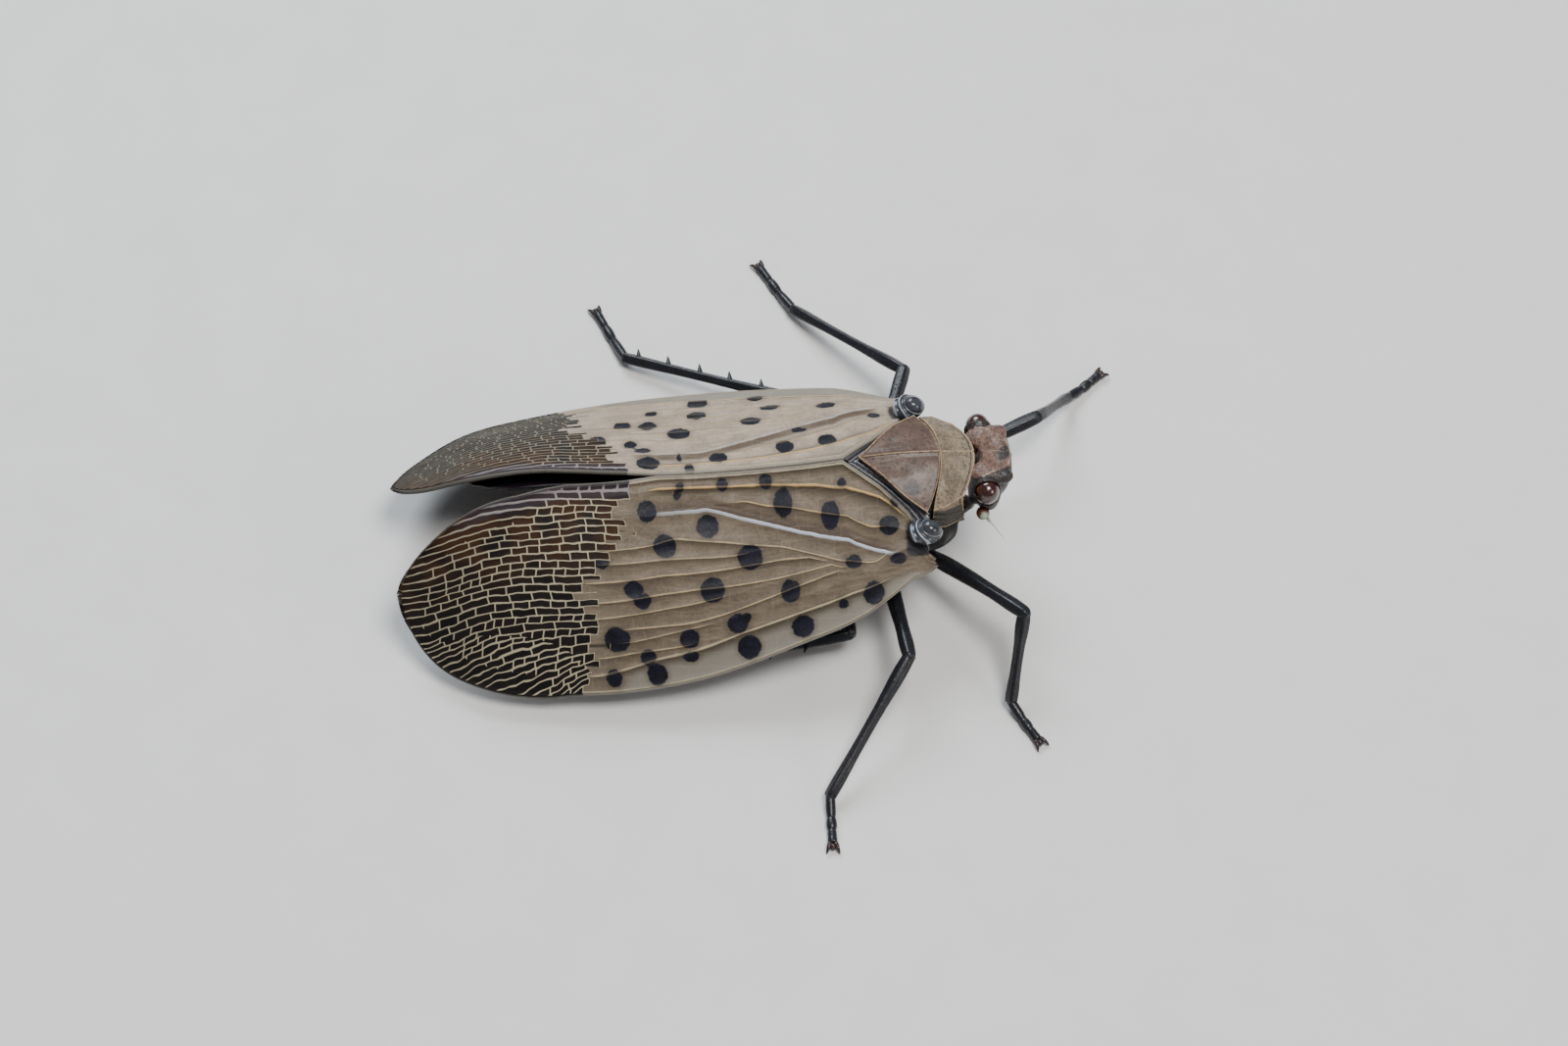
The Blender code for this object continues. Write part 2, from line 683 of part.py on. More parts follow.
def femur(name, joints, material, trunk):
    coxa, hip, knee, ankle = joints[:4]
    path = along(coxa, hip, COXA_SHARES) + along(hip, knee, FEMUR_SHARES)
    limb = tube(name, path, [FEMUR_THICK * share for share in FEMUR_FORM], material)
    mitre(limb, hip, knee, ankle, -1)
    carve(limb, [trunk])


def spines(name, joints, material):
    """Row of spines down the outer side of a hind tibia."""
    knee, ankle = joints[2:4]
    step = heading(knee, ankle)
    out = np.array((0.0, math.copysign(1.0, ankle[1]), SPINE_LIFT))
    out = heading((0, 0, 0), out - step * out.dot(step))
    row = []
    for k, base in enumerate(along(knee, ankle, np.linspace(*SPINE_SHARES, SPINES))):
        tip = base + (out * 0.9 + step * 0.4) * SPINE_LENGTH
        row.append(tube(f"{name}_{k}", along(base, tip, (0.1, 0.6, 1.0)), SPINE_RADII, material, 6))
    return row


def tibia(name, joints, material, spiny):
    hip, knee, ankle = joints[1:4]
    path = along(knee, ankle, TIBIA_SHARES)
    limb = tube(name, path, [TIBIA_THICK * share for share in TIBIA_FORM], material)
    mitre(limb, hip, knee, ankle, 1)
    mitre(limb, knee, ankle, heel_of(joints), -1)
    if spiny:
        join(limb, spines(name + "_spine", joints, material))


def toe_of(joints):
    return np.array((*joints[4][:2], TARSUS_THICK - FLAT_DEPTH))


def heel_of(joints):
    """Where the foot first meets the floor."""
    across = np.array(joints[3]) * 0.55 + toe_of(joints) * 0.45
    return np.array((*across[:2], TARSUS_THICK - 0.01))


def tarsus(name, joints, material):
    """Three foot joints with two claws, flat where they meet the floor."""
    knee, ankle = np.array(joints[2]), np.array(joints[3])
    toe, heel = toe_of(joints), heel_of(joints)
    start = ankle - heading(ankle, heel) * TARSUS_LAP
    path = [start] + along(ankle, heel, HEEL_SHARES) + along(heel, toe, TOE_SHARES)
    foot = tube(name, path, [TARSUS_THICK * share for share in TARSUS_FORM], material)
    mitre(foot, knee, ankle, heel, 1)
    ahead = heading(heel, (*toe[:2], heel[2]))
    aside = np.array((-ahead[1], ahead[0], 0.0))
    claws = []
    for hand in (-1, 1):
        base = toe - ahead * CLAW_ROOT + aside * hand * CLAW_APART
        reach = ahead * CLAW_LENGTH + aside * hand * CLAW_SPREAD
        points = [base + reach * share + np.array((0, 0, lift)) for share, lift in CLAW_ARCH]
        claws.append(tube(f"{name}_claw_{hand}", points, CLAW_RADII, material, 6))
    join(foot, claws)
    slice_off(foot, np.zeros(3), (0, 0, -1))
    for vert in foot.data.vertices:
        if abs(vert.co.z) < 1e-6:
            vert.co.z = 0.0


def rostrum(name, material, trunk):
    beak = tube(name, [(x, 0.0, z) for x, z, _ in ROSTRUM], [r for _, _, r in ROSTRUM], material)
    carve(beak, [trunk])


def main():
    clear_scene()
    wing = paint("forewing_grey_tan", (0.42, 0.35, 0.26), 0.5)
    under = paint("hindwing_red", (0.45, 0.06, 0.03), 0.5)
    shell = paint("mesonotum_brown", (0.15, 0.075, 0.055), 0.4)
    saddle = paint("pronotum_tan", (0.22, 0.17, 0.12), 0.55)
    crown = paint("head_brown", (0.12, 0.07, 0.06), 0.5)
    eyeball = paint("eye_red_brown", (0.16, 0.02, 0.012), 0.15, 0.6)
    feeler = paint("antenna_orange", (0.5, 0.12, 0.03), 0.5)
    black = paint("leg_black", (0.012, 0.012, 0.015), 0.35, 0.3)
    belly = paint("abdomen_yellow", (0.5, 0.33, 0.06), 0.5)
    chest = paint("thorax_brown", (0.06, 0.04, 0.03), 0.5)
    cap = paint("tegula_blue_black", (0.05, 0.055, 0.07), 0.25, 0.5)

    thorax("thorax", chest)
    trunk = thorax("trunk_cutter", chest, grow=1.25 * GAP)
    abdomen("abdomen", belly)
    shield("mesonotum", shell)
    collar("pronotum", saddle)
    head("head", crown)
    rostrum("rostrum", black, trunk)
    for side, label in ((1, "left"), (-1, "right")):
        forewing(f"forewing_{label}", side, wing)
        hindwing(f"hindwing_{label}", side, under)
        oval(f"tegula_{label}", mirrored(TEGULA, side), TEGULA_SIZE, cap, 14, 8)
        oval(f"eye_{label}", mirrored(EYE, side), EYE_SIZE, eyeball)
        antenna(f"antenna_{label}", side, feeler)
    for label in LEGS:
        joints = joints_of(label)
        femur(f"femur_{label}", joints, black, trunk)
        tibia(f"tibia_{label}", joints, black, label.startswith("hind"))
        tarsus(f"tarsus_{label}", joints, black)
    discard([trunk])


main()
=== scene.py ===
"""Looks of a life-size spotted lanternfly, laid out as a Blender add-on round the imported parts.

The head points along +X, the insect's left is +Y and +Z is up. Numbers in the code are millimetres.
"""

import math

import bmesh
import bpy
import numpy as np
from mathutils import Matrix, Vector


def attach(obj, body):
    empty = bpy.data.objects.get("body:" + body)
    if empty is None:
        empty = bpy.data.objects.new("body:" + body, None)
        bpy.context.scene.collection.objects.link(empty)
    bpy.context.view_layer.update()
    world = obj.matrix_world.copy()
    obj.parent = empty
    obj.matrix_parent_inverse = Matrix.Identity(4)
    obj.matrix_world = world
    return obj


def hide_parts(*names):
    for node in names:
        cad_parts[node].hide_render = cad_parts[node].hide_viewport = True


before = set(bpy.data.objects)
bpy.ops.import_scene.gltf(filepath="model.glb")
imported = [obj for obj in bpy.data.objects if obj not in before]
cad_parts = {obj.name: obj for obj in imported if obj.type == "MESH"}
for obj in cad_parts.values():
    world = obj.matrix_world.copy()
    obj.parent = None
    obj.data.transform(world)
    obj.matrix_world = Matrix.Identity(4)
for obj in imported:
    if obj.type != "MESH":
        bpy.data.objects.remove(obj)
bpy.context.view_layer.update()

bl_info = {
    "name": "Spotted Lanternfly",
    "version": (1, 0, 0),
    "blender": (4, 5, 0),
    "location": "View3D > Sidebar > Lanternfly",
    "description": "Dresses the packed parts of an adult spotted lanternfly",
    "category": "Add Mesh",
}

MM = 0.001
SIDES = ((1, "left"), (-1, "right"))

# Roof of the closed forewings by station: side slope in degrees and ridge height.
ROOF_X = (-16.0, -14.3, -12.3, -9.3, -6.3, -3.3, 0.7, 4.7, 7.0)
ROOF_SLOPE = (44.0, 43.5, 43.0, 42.0, 38.3, 35.5, 33.5, 34.5, 36.0)
ROOF_RIDGE = (5.3, 5.75, 6.68, 7.25, 6.9, 6.62, 6.65, 7.05, 7.3)
ROOF_CAMBER = 0.45
ROOF_SPAN = 9.2

# Forewing outline, by distance across the roof from the midline.
WING_BASE_X = 6.6
WING_APEX_X = -15.26
WING_APEX_W = 3.55
WING_COSTA_X = (-9.3, -6.3, -3.3, 0.7, 3.7, 5.7)
WING_COSTA_W = (9.27, 9.0, 8.51, 7.42, 6.47, 5.3)
WING_SHOULDER_W = 4.7
WING_INNER_X = (-10.3, -8.3, -5.7, -4.5, 3.1, 4.5, 5.5, 5.85, 6.25, 6.6)
WING_INNER_W = (0.70, 0.42, 0.24, 0.08, 0.08, 1.28, 2.42, 3.08, 4.2, 4.65)
WING_ROUND = 1.85
WING_ROWS = 250
WING_TIP_ROWS = 90
WING_REST_X = -12.4

# Lines of the forewing from its inner edge to its costal edge: width of the vein, warmth of its
# colour, ridge height, mesh columns up to it, and points of station and distance across.
WING_LINES = (
    ("inner_rim", 1.1, 0.0, 0.05, 3, None),
    ("claval_first", 1.5, 1.0, 0.05, 6, (
        (-4.32, 0.61), (-2.75, 0.62), (-0.14, 0.71), (1.99, 0.95), (3.04, 1.22), (4.24, 1.66), (4.86, 2.06),
    )),
    ("claval_second", 0.9, 0.7, 0.035, 7, (
        (-0.97, 1.3), (-0.22, 1.56), (0.85, 1.73), (2.32, 2.16), (3.46, 2.62), (4.14, 2.98),
    )),
    ("claval_fold", 0.0, 0.0, 0.05, 7, (
        (-5.38, 0.78), (-3.74, 1.12), (-1.93, 1.66), (-0.13, 2.26), (1.67, 2.87), (3.46, 3.49), (5.0, 4.12),
    )),
    ("hook_vein", 0.9, 0.3, 0.045, 9, (
        (-6.47, 3.07), (-4.87, 2.9), (-3.94, 2.64), (-1.79, 2.93), (0.42, 3.3), (1.91, 3.82), (2.9, 4.2),
        (4.2, 4.4),
    )),
    ("radial_third", 0.8, 0.3, 0.035, 5, ((-6.76, 3.64), (-4.78, 3.51), (-3.43, 3.47), (-1.52, 3.49))),
    ("radial_fourth", 0.9, 0.4, 0.04, 5, (
        (-7.26, 4.41), (-4.63, 4.15), (-1.49, 3.97), (0.38, 3.81), (1.5, 3.85),
    )),
    ("radial_fifth", 0.9, 0.4, 0.04, 7, (
        (-7.32, 5.25), (-4.94, 4.95), (-3.21, 4.76), (0.32, 4.54), (2.26, 4.26),
    )),
    ("radial_sixth", 0.8, 0.4, 0.035, 5, ((-7.36, 5.91), (-5.82, 5.71), (-3.63, 5.38), (-2.6, 5.2))),
    ("radial_seventh", 0.9, 0.4, 0.04, 6, (
        (-5.86, 6.3), (-3.68, 6.15), (-2.26, 5.87), (0.28, 5.14), (2.2, 4.62),
    )),
    ("radial_eighth", 0.7, 0.3, 0.03, 5, ((-5.95, 6.85), (-4.21, 6.48), (-3.3, 6.3))),
    ("radial_ninth", 0.8, 0.3, 0.035, 5, ((-7.2, 7.55), (-5.92, 7.31), (-3.99, 7.08))),
    ("costal_vein", 1.3, 0.2, 0.07, 5, (
        (-7.38, 8.3), (-5.11, 7.61), (-3.36, 7.25), (-1.42, 6.64), (0.21, 6.17), (1.9, 5.57), (3.28, 5.06),
        (4.01, 4.75),
    )),
    ("costal_rim", 0.9, 0.0, 0.04, 9, None),
)
LINE_NAMES = [entry[0] for entry in WING_LINES]
RIM_IN = 0.14
LINE_GAP = 0.09

# Spots of each forewing: station, distance across, and half sizes along and across.
SPOTS_RIGHT = (
    (4.78, 2.96, 0.41, 0.4), (2.42, 2.24, 0.38, 0.6), (0.54, 1.51, 0.38, 0.6), (-0.09, 0.59, 0.28, 0.32),
    (-1.86, 0.57, 0.24, 0.28), (-3.59, 0.56, 0.16, 0.2), (-3.74, 0.91, 0.16, 0.2), (2.97, 0.97, 0.2, 0.2),
    (5.08, 2.06, 0.16, 0.2), (-2.6, 2.22, 0.46, 0.48), (-5.03, 1.51, 0.4, 0.44), (-4.4, 2.95, 0.48, 0.48),
    (-0.96, 3.59, 0.52, 0.52), (3.22, 4.24, 0.34, 0.28), (-2.58, 4.81, 0.5, 0.52), (0.59, 5.12, 0.4, 0.48),
    (-5.79, 4.68, 0.4, 0.36), (-5.46, 5.18, 0.36, 0.32), (-1.64, 6.25, 0.44, 0.4), (-1.25, 6.02, 0.2, 0.18),
    (3.98, 5.62, 0.45, 0.48), (2.71, 5.92, 0.22, 0.2), (1.0, 6.62, 0.48, 0.44), (-1.24, 7.26, 0.48, 0.49),
    (-3.65, 6.76, 0.4, 0.41), (-3.65, 7.51, 0.32, 0.25), (-6.6, 6.75, 0.52, 0.52), (-5.38, 7.49, 0.32, 0.33),
    (-5.06, 8.22, 0.42, 0.46), (-6.81, 8.39, 0.32, 0.38), (-7.03, 3.56, 0.32, 0.28), (5.09, 4.36, 0.37, 0.24),
)
SPOTS_LEFT = (
    (2.66, 1.57, 0.4, 0.45), (0.89, 1.42, 0.38, 0.45), (-1.88, 1.06, 0.38, 0.45), (-3.46, 1.26, 0.12, 0.24),
    (-3.14, 0.3, 0.2, 0.37), (-0.29, 3.93, 0.45, 0.36), (-3.32, 3.43, 0.49, 0.5), (0.67, 5.08, 0.41, 0.26),
    (2.93, 4.61, 0.41, 0.3), (-2.45, 5.16, 0.42, 0.49), (-4.56, 4.44, 0.41, 0.43), (-5.59, 4.74, 0.37, 0.41),
    (-4.32, 6.01, 0.26, 0.27), (-2.31, 6.65, 0.44, 0.54), (0.15, 6.41, 0.38, 0.37), (4.81, 3.47, 0.28, 0.29),
    (1.61, 2.7, 0.32, 0.14), (-4.92, 2.05, 0.36, 0.26), (-4.78, 0.95, 0.48, 0.56), (-5.38, 2.64, 0.28, 0.27),
    (-6.73, 3.23, 0.37, 0.41),
)
# Edge of the netted tip: distance across and station.
NET_EDGE = (
    (0.0, -5.6), (0.63, -5.76), (1.81, -6.46), (2.41, -5.9), (2.88, -6.66), (3.24, -7.08), (4.2, -7.23),
    (5.01, -7.68), (6.24, -7.44), (7.07, -7.33), (8.34, -7.88), (9.5, -8.2),
)
NET_PITCH = 0.31
# The net's rows spread behind this station, away from this distance across.
NET_FAN_X = -6.5
NET_FAN_W = 4.3
NET_FAN_REACH = 8.8
NET_LEAN_OUTER = 0.085
NET_LEAN_INNER = -0.004

# Hindwing tucked under the forewing: front station, hinge, insets from the forewing, drop and pleats.
HIND_FRONT_X = 1.15
HIND_MID_W = 3.45
HIND_INNER = 2.95
HIND_INSET = 1.75
HIND_DROP = 1.15
HIND_PLEAT = 0.06
PLEATS = 1.9

# Rings of the chest and belly: station, top, bottom and half width.
TRUNK = (
    (8.35, 5.9, 3.4, 1.7), (7.85, 6.0, 2.75, 2.25), (7.25, 5.8, 2.3, 2.6), (6.5, 5.75, 2.05, 2.75),
    (5.5, 5.6, 1.95, 2.65), (4.0, 5.4, 1.85, 2.5), (2.6, 5.0, 1.85, 2.3), (1.3, 4.4, 1.6, 2.1),
    (-0.5, 4.3, 1.05, 2.4), (-3.0, 4.25, 0.85, 2.45), (-5.5, 4.25, 0.9, 2.3), (-7.5, 4.15, 1.15, 1.9),
    (-9.0, 3.85, 1.55, 1.3), (-9.95, 3.2, 2.3, 0.5),
)
BELLY_FRONT_X = 1.3
BELLY_BACK_X = -9.95
BELLY_RINGS = 7
SHOULDER = (6.62, 2.72, 4.62)
SHOULDER_SIZE = (0.62, 0.5, 0.5)
CHEST_SEAMS = ((7.55, 0.35), (6.1, -0.3), (5.0, 0.3), (3.9, -0.2), (2.5, 0.25))

# Keel and raised edges that both plates share.
KEEL_WIDTH = 0.032
RIDGE_HEIGHT = 0.05
LIP_HEIGHT = 0.03
SHIELD_PATCH = (5.8, -1.5)
COLLAR_BLOT = (7.8, 2.2)
FOLD_SHARE = 0.62

# Walls of the plates and the thin sheets.
PLATE_WALL = 0.12
STRIP_WALL = 0.1

SHIELD_FRONT_X = 7.1
SHIELD_BOW = 0.75
SHIELD_TIP_X = 3.72
SHIELD_HALF = 2.42
SHIELD_TOP = 6.85
SHIELD_DROP = 0.9

# Strip beside the mesonotum: stations of its outer edge, its drop, and its ribs' number and height.
STRIP_OUTER_X = (3.0, 6.35)
STRIP_DROP = 0.16
STRIP_RIBS = 3.5
STRIP_RIB_HEIGHT = 0.08

COLLAR_FRONT_X = 8.55
COLLAR_LENGTH = 1.4
COLLAR_BOW = 0.95
COLLAR_TURN = 80
COLLAR_TOP = 6.62
COLLAR_RISE = 0.2
COLLAR_HEIGHT = 1.95
COLLAR_HALF = 1.95
COLLAR_FLARE = 0.75
COLLAR_LOBE = 0.45

# Level slices of the head, crown to mouth: height, rear, front, half width and forward tilt.
HEAD = (
    (6.58, 8.90, 9.87, 1.02, -0.16), (6.42, 8.80, 10.04, 1.25, -0.12), (6.1, 8.75, 10.1, 1.34, -0.05),
    (5.75, 8.7, 10.08, 1.36, 0.0), (5.3, 8.65, 9.98, 1.34, 0.0), (4.8, 8.6, 9.8, 1.22, 0.0),
    (4.35, 8.55, 9.57, 1.06, 0.0), (4.12, 8.52, 9.33, 0.9, 0.0), (3.85, 8.5, 9.32, 0.82, 0.0),
    (3.4, 8.5, 9.02, 0.55, 0.0), (3.15, 8.55, 8.88, 0.36, 0.0),
)
HEAD_CORE = (9.25, 0.0, 5.2)
HEAD_SQUARE = 2.78

# Ovals blended into each side of the head: centre, size and blend of cheek, knob and brow.
HEAD_OVALS = (
    ((9.02, 1.2, 5.45), (0.56, 0.8, 0.95), 0.12),
    ((9.74, 1.1, 6.3), (0.31, 0.26, 0.26), 0.12),
    ((9.12, 0.85, 6.34), (0.8, 0.56, 0.3), 0.1),
)
# Keels of the head: points, height and width.
HEAD_KEELS = (
    (((8.9, 0.0, 6.6), (9.4, 0.0, 6.55), (9.9, 0.0, 6.45)), 0.04, 0.05),
    (((8.75, 1.2, 6.55), (9.2, 1.05, 6.62), (9.55, 0.85, 6.55), (9.88, 0.64, 6.45)), 0.06, 0.05),
    (((9.88, 0.64, 6.45), (10.02, 0.3, 6.42), (10.05, 0.0, 6.4)), 0.03, 0.05),
    (((10.08, 0.0, 6.2), (10.08, 0.0, 5.5), (9.8, 0.0, 4.7)), 0.05, 0.06),
    (((10.0, 0.75, 6.1), (10.02, 0.7, 5.5), (9.75, 0.55, 4.7)), 0.04, 0.06),
    (((9.65, 0.0, 4.3), (9.3, 0.0, 3.7)), 0.04, 0.07),
)
# Upper edge of the dark flank, painted shade on the right side of the head: station and distance from the
# midline.
FLANK_X = (8.7, 9.2, 9.55, 9.9)
FLANK_Y = (1.28, 1.12, 0.92, 0.7)
EYE = (8.93, 1.6, 6.02)
EYE_SIZE = (0.5, 0.52, 0.58)
ANTENNA = (8.78, 1.93, 4.92)
ANTENNA_SEAT = 0.42
BULB_SIZE = 0.27
BRISTLE_REACH = (0.42, 0.5, -0.3)
BRISTLE_SHARES = (0.35, 0.5, 0.62, 0.7, 0.85, 1.2, 1.6, 1.9)
BRISTLE_RADII = (0.07, 0.07, 0.05, 0.03, 0.02, 0.014, 0.01, 0.006)
TEGULA = (6.25, 3.05, 5.62)
TEGULA_SIZE = (0.7, 0.56, 0.44)
# Beak, from the face back: station, height and radius.
ROSTRUM = (
    (8.6, 2.85, 0.33), (8.2, 2.3, 0.33), (7.6, 1.8, 0.31), (6.8, 1.48, 0.28), (6.0, 1.3, 0.26),
    (4.2, 1.2, 0.22), (2.9, 1.2, 0.13),
)

# Coxa and hip of each pair, then knee, ankle and toe of each leg.
HIPS = {
    "fore": ((6.5, 0.95, 2.9), (6.5, 1.8, 1.95)),
    "mid": ((4.85, 1.3, 2.6), (4.85, 2.3, 1.75)),
    "hind": ((3.0, 1.0, 2.4), (2.8, 1.9, 1.6)),
}
LEGS = {
    "fore_left": ((11.9, 3.72, 3.1), (13.8, 6.3, 0.5), (15.3, 7.5, 0.0)),
    "fore_right": ((10.06, -5.99, 3.5), (9.4, -8.4, 0.5), (10.3, -10.1, 0.0)),
    "mid_left": ((6.64, 6.94, 2.6), (2.5, 11.9, 0.5), (1.3, 14.4, 0.0)),
    "mid_right": ((5.2, -7.3, 3.0), (1.5, -12.1, 0.5), (1.4, -14.1, 0.0)),
    "hind_left": ((2.2, 6.27, 1.8), (-5.0, 10.0, 0.5), (-6.0, 12.6, 0.0)),
    "hind_right": ((3.04, -5.26, 1.6), (-4.9, -5.6, 0.5), (-7.6, -5.85, 0.0)),
}
TARSUS_THICK = 0.25

# Radii along each segment of a leg.
COXA_RADII = (0.52, 0.58, 0.5, 0.4)
RING_RADII = (0.3, 0.34, 0.3)
THIGH_RADII = (0.26, 0.33, 0.35, 0.34, 0.33, 0.31, 0.29, 0.27, 0.3, 0.33, 0.28)
SHIN_RADII = (0.24, 0.29, 0.28, 0.24, 0.22, 0.21, 0.21, 0.21, 0.22, 0.23, 0.27, 0.24)
FOOT_RADII = (
    (0.17, 0.2, 0.19, 0.21, 0.17), (0.17, 0.21, 0.2, 0.22, 0.18), (0.15, 0.19, 0.18, 0.17, 0.2, 0.19),
)
LIMB_RINGS = 26
# Spines of a hind shin: where they stand, their length, and shares and radii along one.
SPINE_PLACES = (0.22, 0.4, 0.57, 0.75, 0.92)
SPINE_LENGTH = 0.6
SPINE_SHARES = (0.0, 0.3, 0.5, 0.7, 0.85, 1.0)
SPINE_RADII = (0.15, 0.13, 0.1, 0.07, 0.045, 0.012)
# Arch of a claw: share of its length, rise and radius.
CLAW_ARCH = (
    (0.0, 0.02, 0.1), (0.3, 0.06, 0.11), (0.55, 0.06, 0.085), (0.8, 0.0, 0.06), (0.93, -0.07, 0.035),
    (1.0, -0.12, 0.012),
)
CLAW_LENGTH = 0.5
CLAW_SPREAD = 0.19
PAD_SHARES = (-0.1, 0.0, 0.12, 0.17)
PAD_RADII = (0.1, 0.15, 0.12, 0.04)
# How rusty the underside of each pair's thighs is.
THIGH_RUST = {"fore": 0.9, "mid": 0.8, "hind": 0.2}

# Colours that go with those in the settings.
FOLD_SHADOW = (0.05, 0.03, 0.02)
CELL_RUST = (0.04, 0.016, 0.006)
HEM_CELL = (0.032, 0.024, 0.029)
HEM_THREAD = (0.25, 0.22, 0.22)
WING_ROOT = (0.016, 0.017, 0.024)
PLATE_DUST = (0.45, 0.42, 0.38)
LEG_DUST = (0.22, 0.2, 0.18)
EYE_DEPTH = (0.008, 0.006, 0.006)
BELLY_BAND = (0.012, 0.011, 0.012)

# Lamps: name, place in metres, size, power and colour.
LAMPS = (
    ("sky_behind", (-0.06, 0.2, 0.22), 0.18, 0.85, (0.86, 0.93, 1.0)),
    ("window_above", (0.06, -0.06, 0.3), 0.12, 0.9, (1.0, 0.98, 0.95)),
    ("fill_front", (0.22, -0.18, 0.14), 0.1, 0.18, (1.0, 0.95, 0.88)),
)
ROOM_COLOUR = (0.82, 0.88, 1.0, 1.0)
# Point that the camera looks at, and its shift right and down.
LOOK_AT = (-3.3, 0.0, 6.5)
LOOK_SHIFT = (4.0, 1.98)
SENSOR_WIDTH = 36.0


# Small helpers for numbers and shapes.


def smoothstep(value, low, high):
    """Soft ramp from nothing at low to one at high."""
    t = np.clip((np.asarray(value, float) - low) / (high - low), 0.0, 1.0)
    return t * t * (3 - 2 * t)


def curve(x, stations, values):
    """Smooth cubic through the values, held level beyond both ends."""
    stations = np.asarray(stations, float)
    values = np.asarray(values, float)
    x = np.clip(np.asarray(x, float), stations[0], stations[-1])
    i = np.clip(np.searchsorted(stations, x, "right") - 1, 0, len(stations) - 2)
    slopes = np.gradient(values, stations)
    span = stations[i + 1] - stations[i]
    t = (x - stations[i]) / span
    start = (2 * t**3 - 3 * t**2 + 1) * values[i] + (t**3 - 2 * t**2 + t) * span * slopes[i]
    end = (3 * t**2 - 2 * t**3) * values[i + 1] + (t**3 - t**2) * span * slopes[i + 1]
    return start + end


def rounded(share, power):
    """One at no share, falling to nothing along a squared circle."""
    return np.maximum(1.0 - np.clip(share, 0.0, 1.0) ** power, 0.0) ** (1.0 / power)


def hump(away, width):
    """One at no distance, falling off smoothly on both sides."""
    return np.exp(-((away / width) ** 2))


def mirrored(point, side):
    return (point[0], side * point[1], point[2])


def unit(vector):
    vector = np.asarray(vector, float)
    return vector / np.linalg.norm(vector)


def line_distance(points, line):
    """Distance of each point from a polyline."""
    line = np.asarray(line, float)
    best = np.full(len(points), np.inf)
    for a, b in zip(line[:-1], line[1:]):
        step = b - a
        t = np.clip((points - a) @ step / (step @ step), 0.0, 1.0)
        best = np.minimum(best, np.linalg.norm(points - a - t[:, None] * step, axis=1))
    return best


def round_min(a, b, blend):
    """Least of two distances with a soft crease."""
    h = np.maximum(blend - np.abs(a - b), 0.0) / blend
    return np.minimum(a, b) - h * h * blend / 4


def oval_distance(points, centre, size):
    """Distance out of an oval, roughly."""
    size = np.asarray(size, float)
    return (np.linalg.norm((points - centre) / size, axis=1) - 1.0) * size.min()


def read_points(mesh):
    co = np.zeros(len(mesh.vertices) * 3)
    mesh.vertices.foreach_get("co", co)
    return co.reshape(-1, 3)


def write_points(mesh, points):
    mesh.vertices.foreach_set("co", np.asarray(points, np.float32).ravel())
    mesh.update()


def store(mesh, name, values):
    """Keeps one number for each vertex, which a material reads by name."""
    layer = mesh.attributes.new(name, "FLOAT", "POINT")
    layer.data.foreach_set("value", np.asarray(values, np.float32).ravel())


def store_map(mesh, name, across, along):
    """Keeps a UV map given at the vertices."""
    layer = mesh.uv_layers.new(name=name)
    corners = np.zeros(len(mesh.loops), int)
    mesh.loops.foreach_get("vertex_index", corners)
    pairs = np.stack([np.ravel(across)[corners], np.ravel(along)[corners]], axis=1)
    layer.data.foreach_set("uv", pairs.astype(np.float32).ravel())


def keep(name, mesh, material, replaced=(), wall=0.0):
    """Shows a finished piece, riding on the one body. A sheet gets a wall below its surface."""
    for polygon in mesh.polygons:
        polygon.use_smooth = True
    mesh.materials.append(material)
    item = bpy.data.objects.new(name, mesh)
    bpy.context.scene.collection.objects.link(item)
    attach(item, "root")
    if replaced:
        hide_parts(*replaced)
    if wall:
        modifier = item.modifiers.new("Thickness", "SOLIDIFY")
        modifier.thickness = wall * MM
        modifier.offset = -1.0
        modifier.use_even_offset = False


def plain_mesh(name, bm):
    mesh = bpy.data.meshes.new(name)
    bm.to_mesh(mesh)
    bm.free()
    return mesh


def to_mesh(name, bm):
    """Mesh in metres of a bmesh in millimetres, with its normals turned outwards."""
    bmesh.ops.recalc_face_normals(bm, faces=bm.faces)
    bmesh.ops.scale(bm, vec=(MM,) * 3, verts=bm.verts)
    return plain_mesh(name, bm)


def sheet(name, surface, layers, maps=()):
    """Grid on the surface's points, its upper face up, with numbers and UV maps at its vertices."""
    rows, columns = surface.shape[:2]
    bm = bmesh.new()
    bmesh.ops.create_grid(bm, x_segments=rows - 1, y_segments=columns - 1, size=1.0)
    mesh = plain_mesh(name, bm)
    flat = read_points(mesh)
    i = np.rint((flat[:, 0] + 1) / 2 * (rows - 1)).astype(int)
    j = np.rint((flat[:, 1] + 1) / 2 * (columns - 1)).astype(int)
    write_points(mesh, surface[i, j] * MM)
    if sum(polygon.normal.z * polygon.area for polygon in mesh.polygons) < 0:
        mesh.flip_normals()
    for label, values in layers.items():
        store(mesh, label, values[i, j])
    for label, across, along in maps:
        store_map(mesh, label, across[i, j], along[i, j])
    return mesh


def ball_mesh(name, cuts):
    """Round box of even faces, and the direction of each vertex."""
    bm = bmesh.new()
    bmesh.ops.create_cube(bm, size=2.0)
    bmesh.ops.subdivide_edges(bm, edges=bm.edges, cuts=cuts, use_grid_fill=True)
    mesh = plain_mesh(name, bm)
    points = np.tan(read_points(mesh) * math.pi / 4)
    return mesh, points / np.linalg.norm(points, axis=1, keepdims=True)


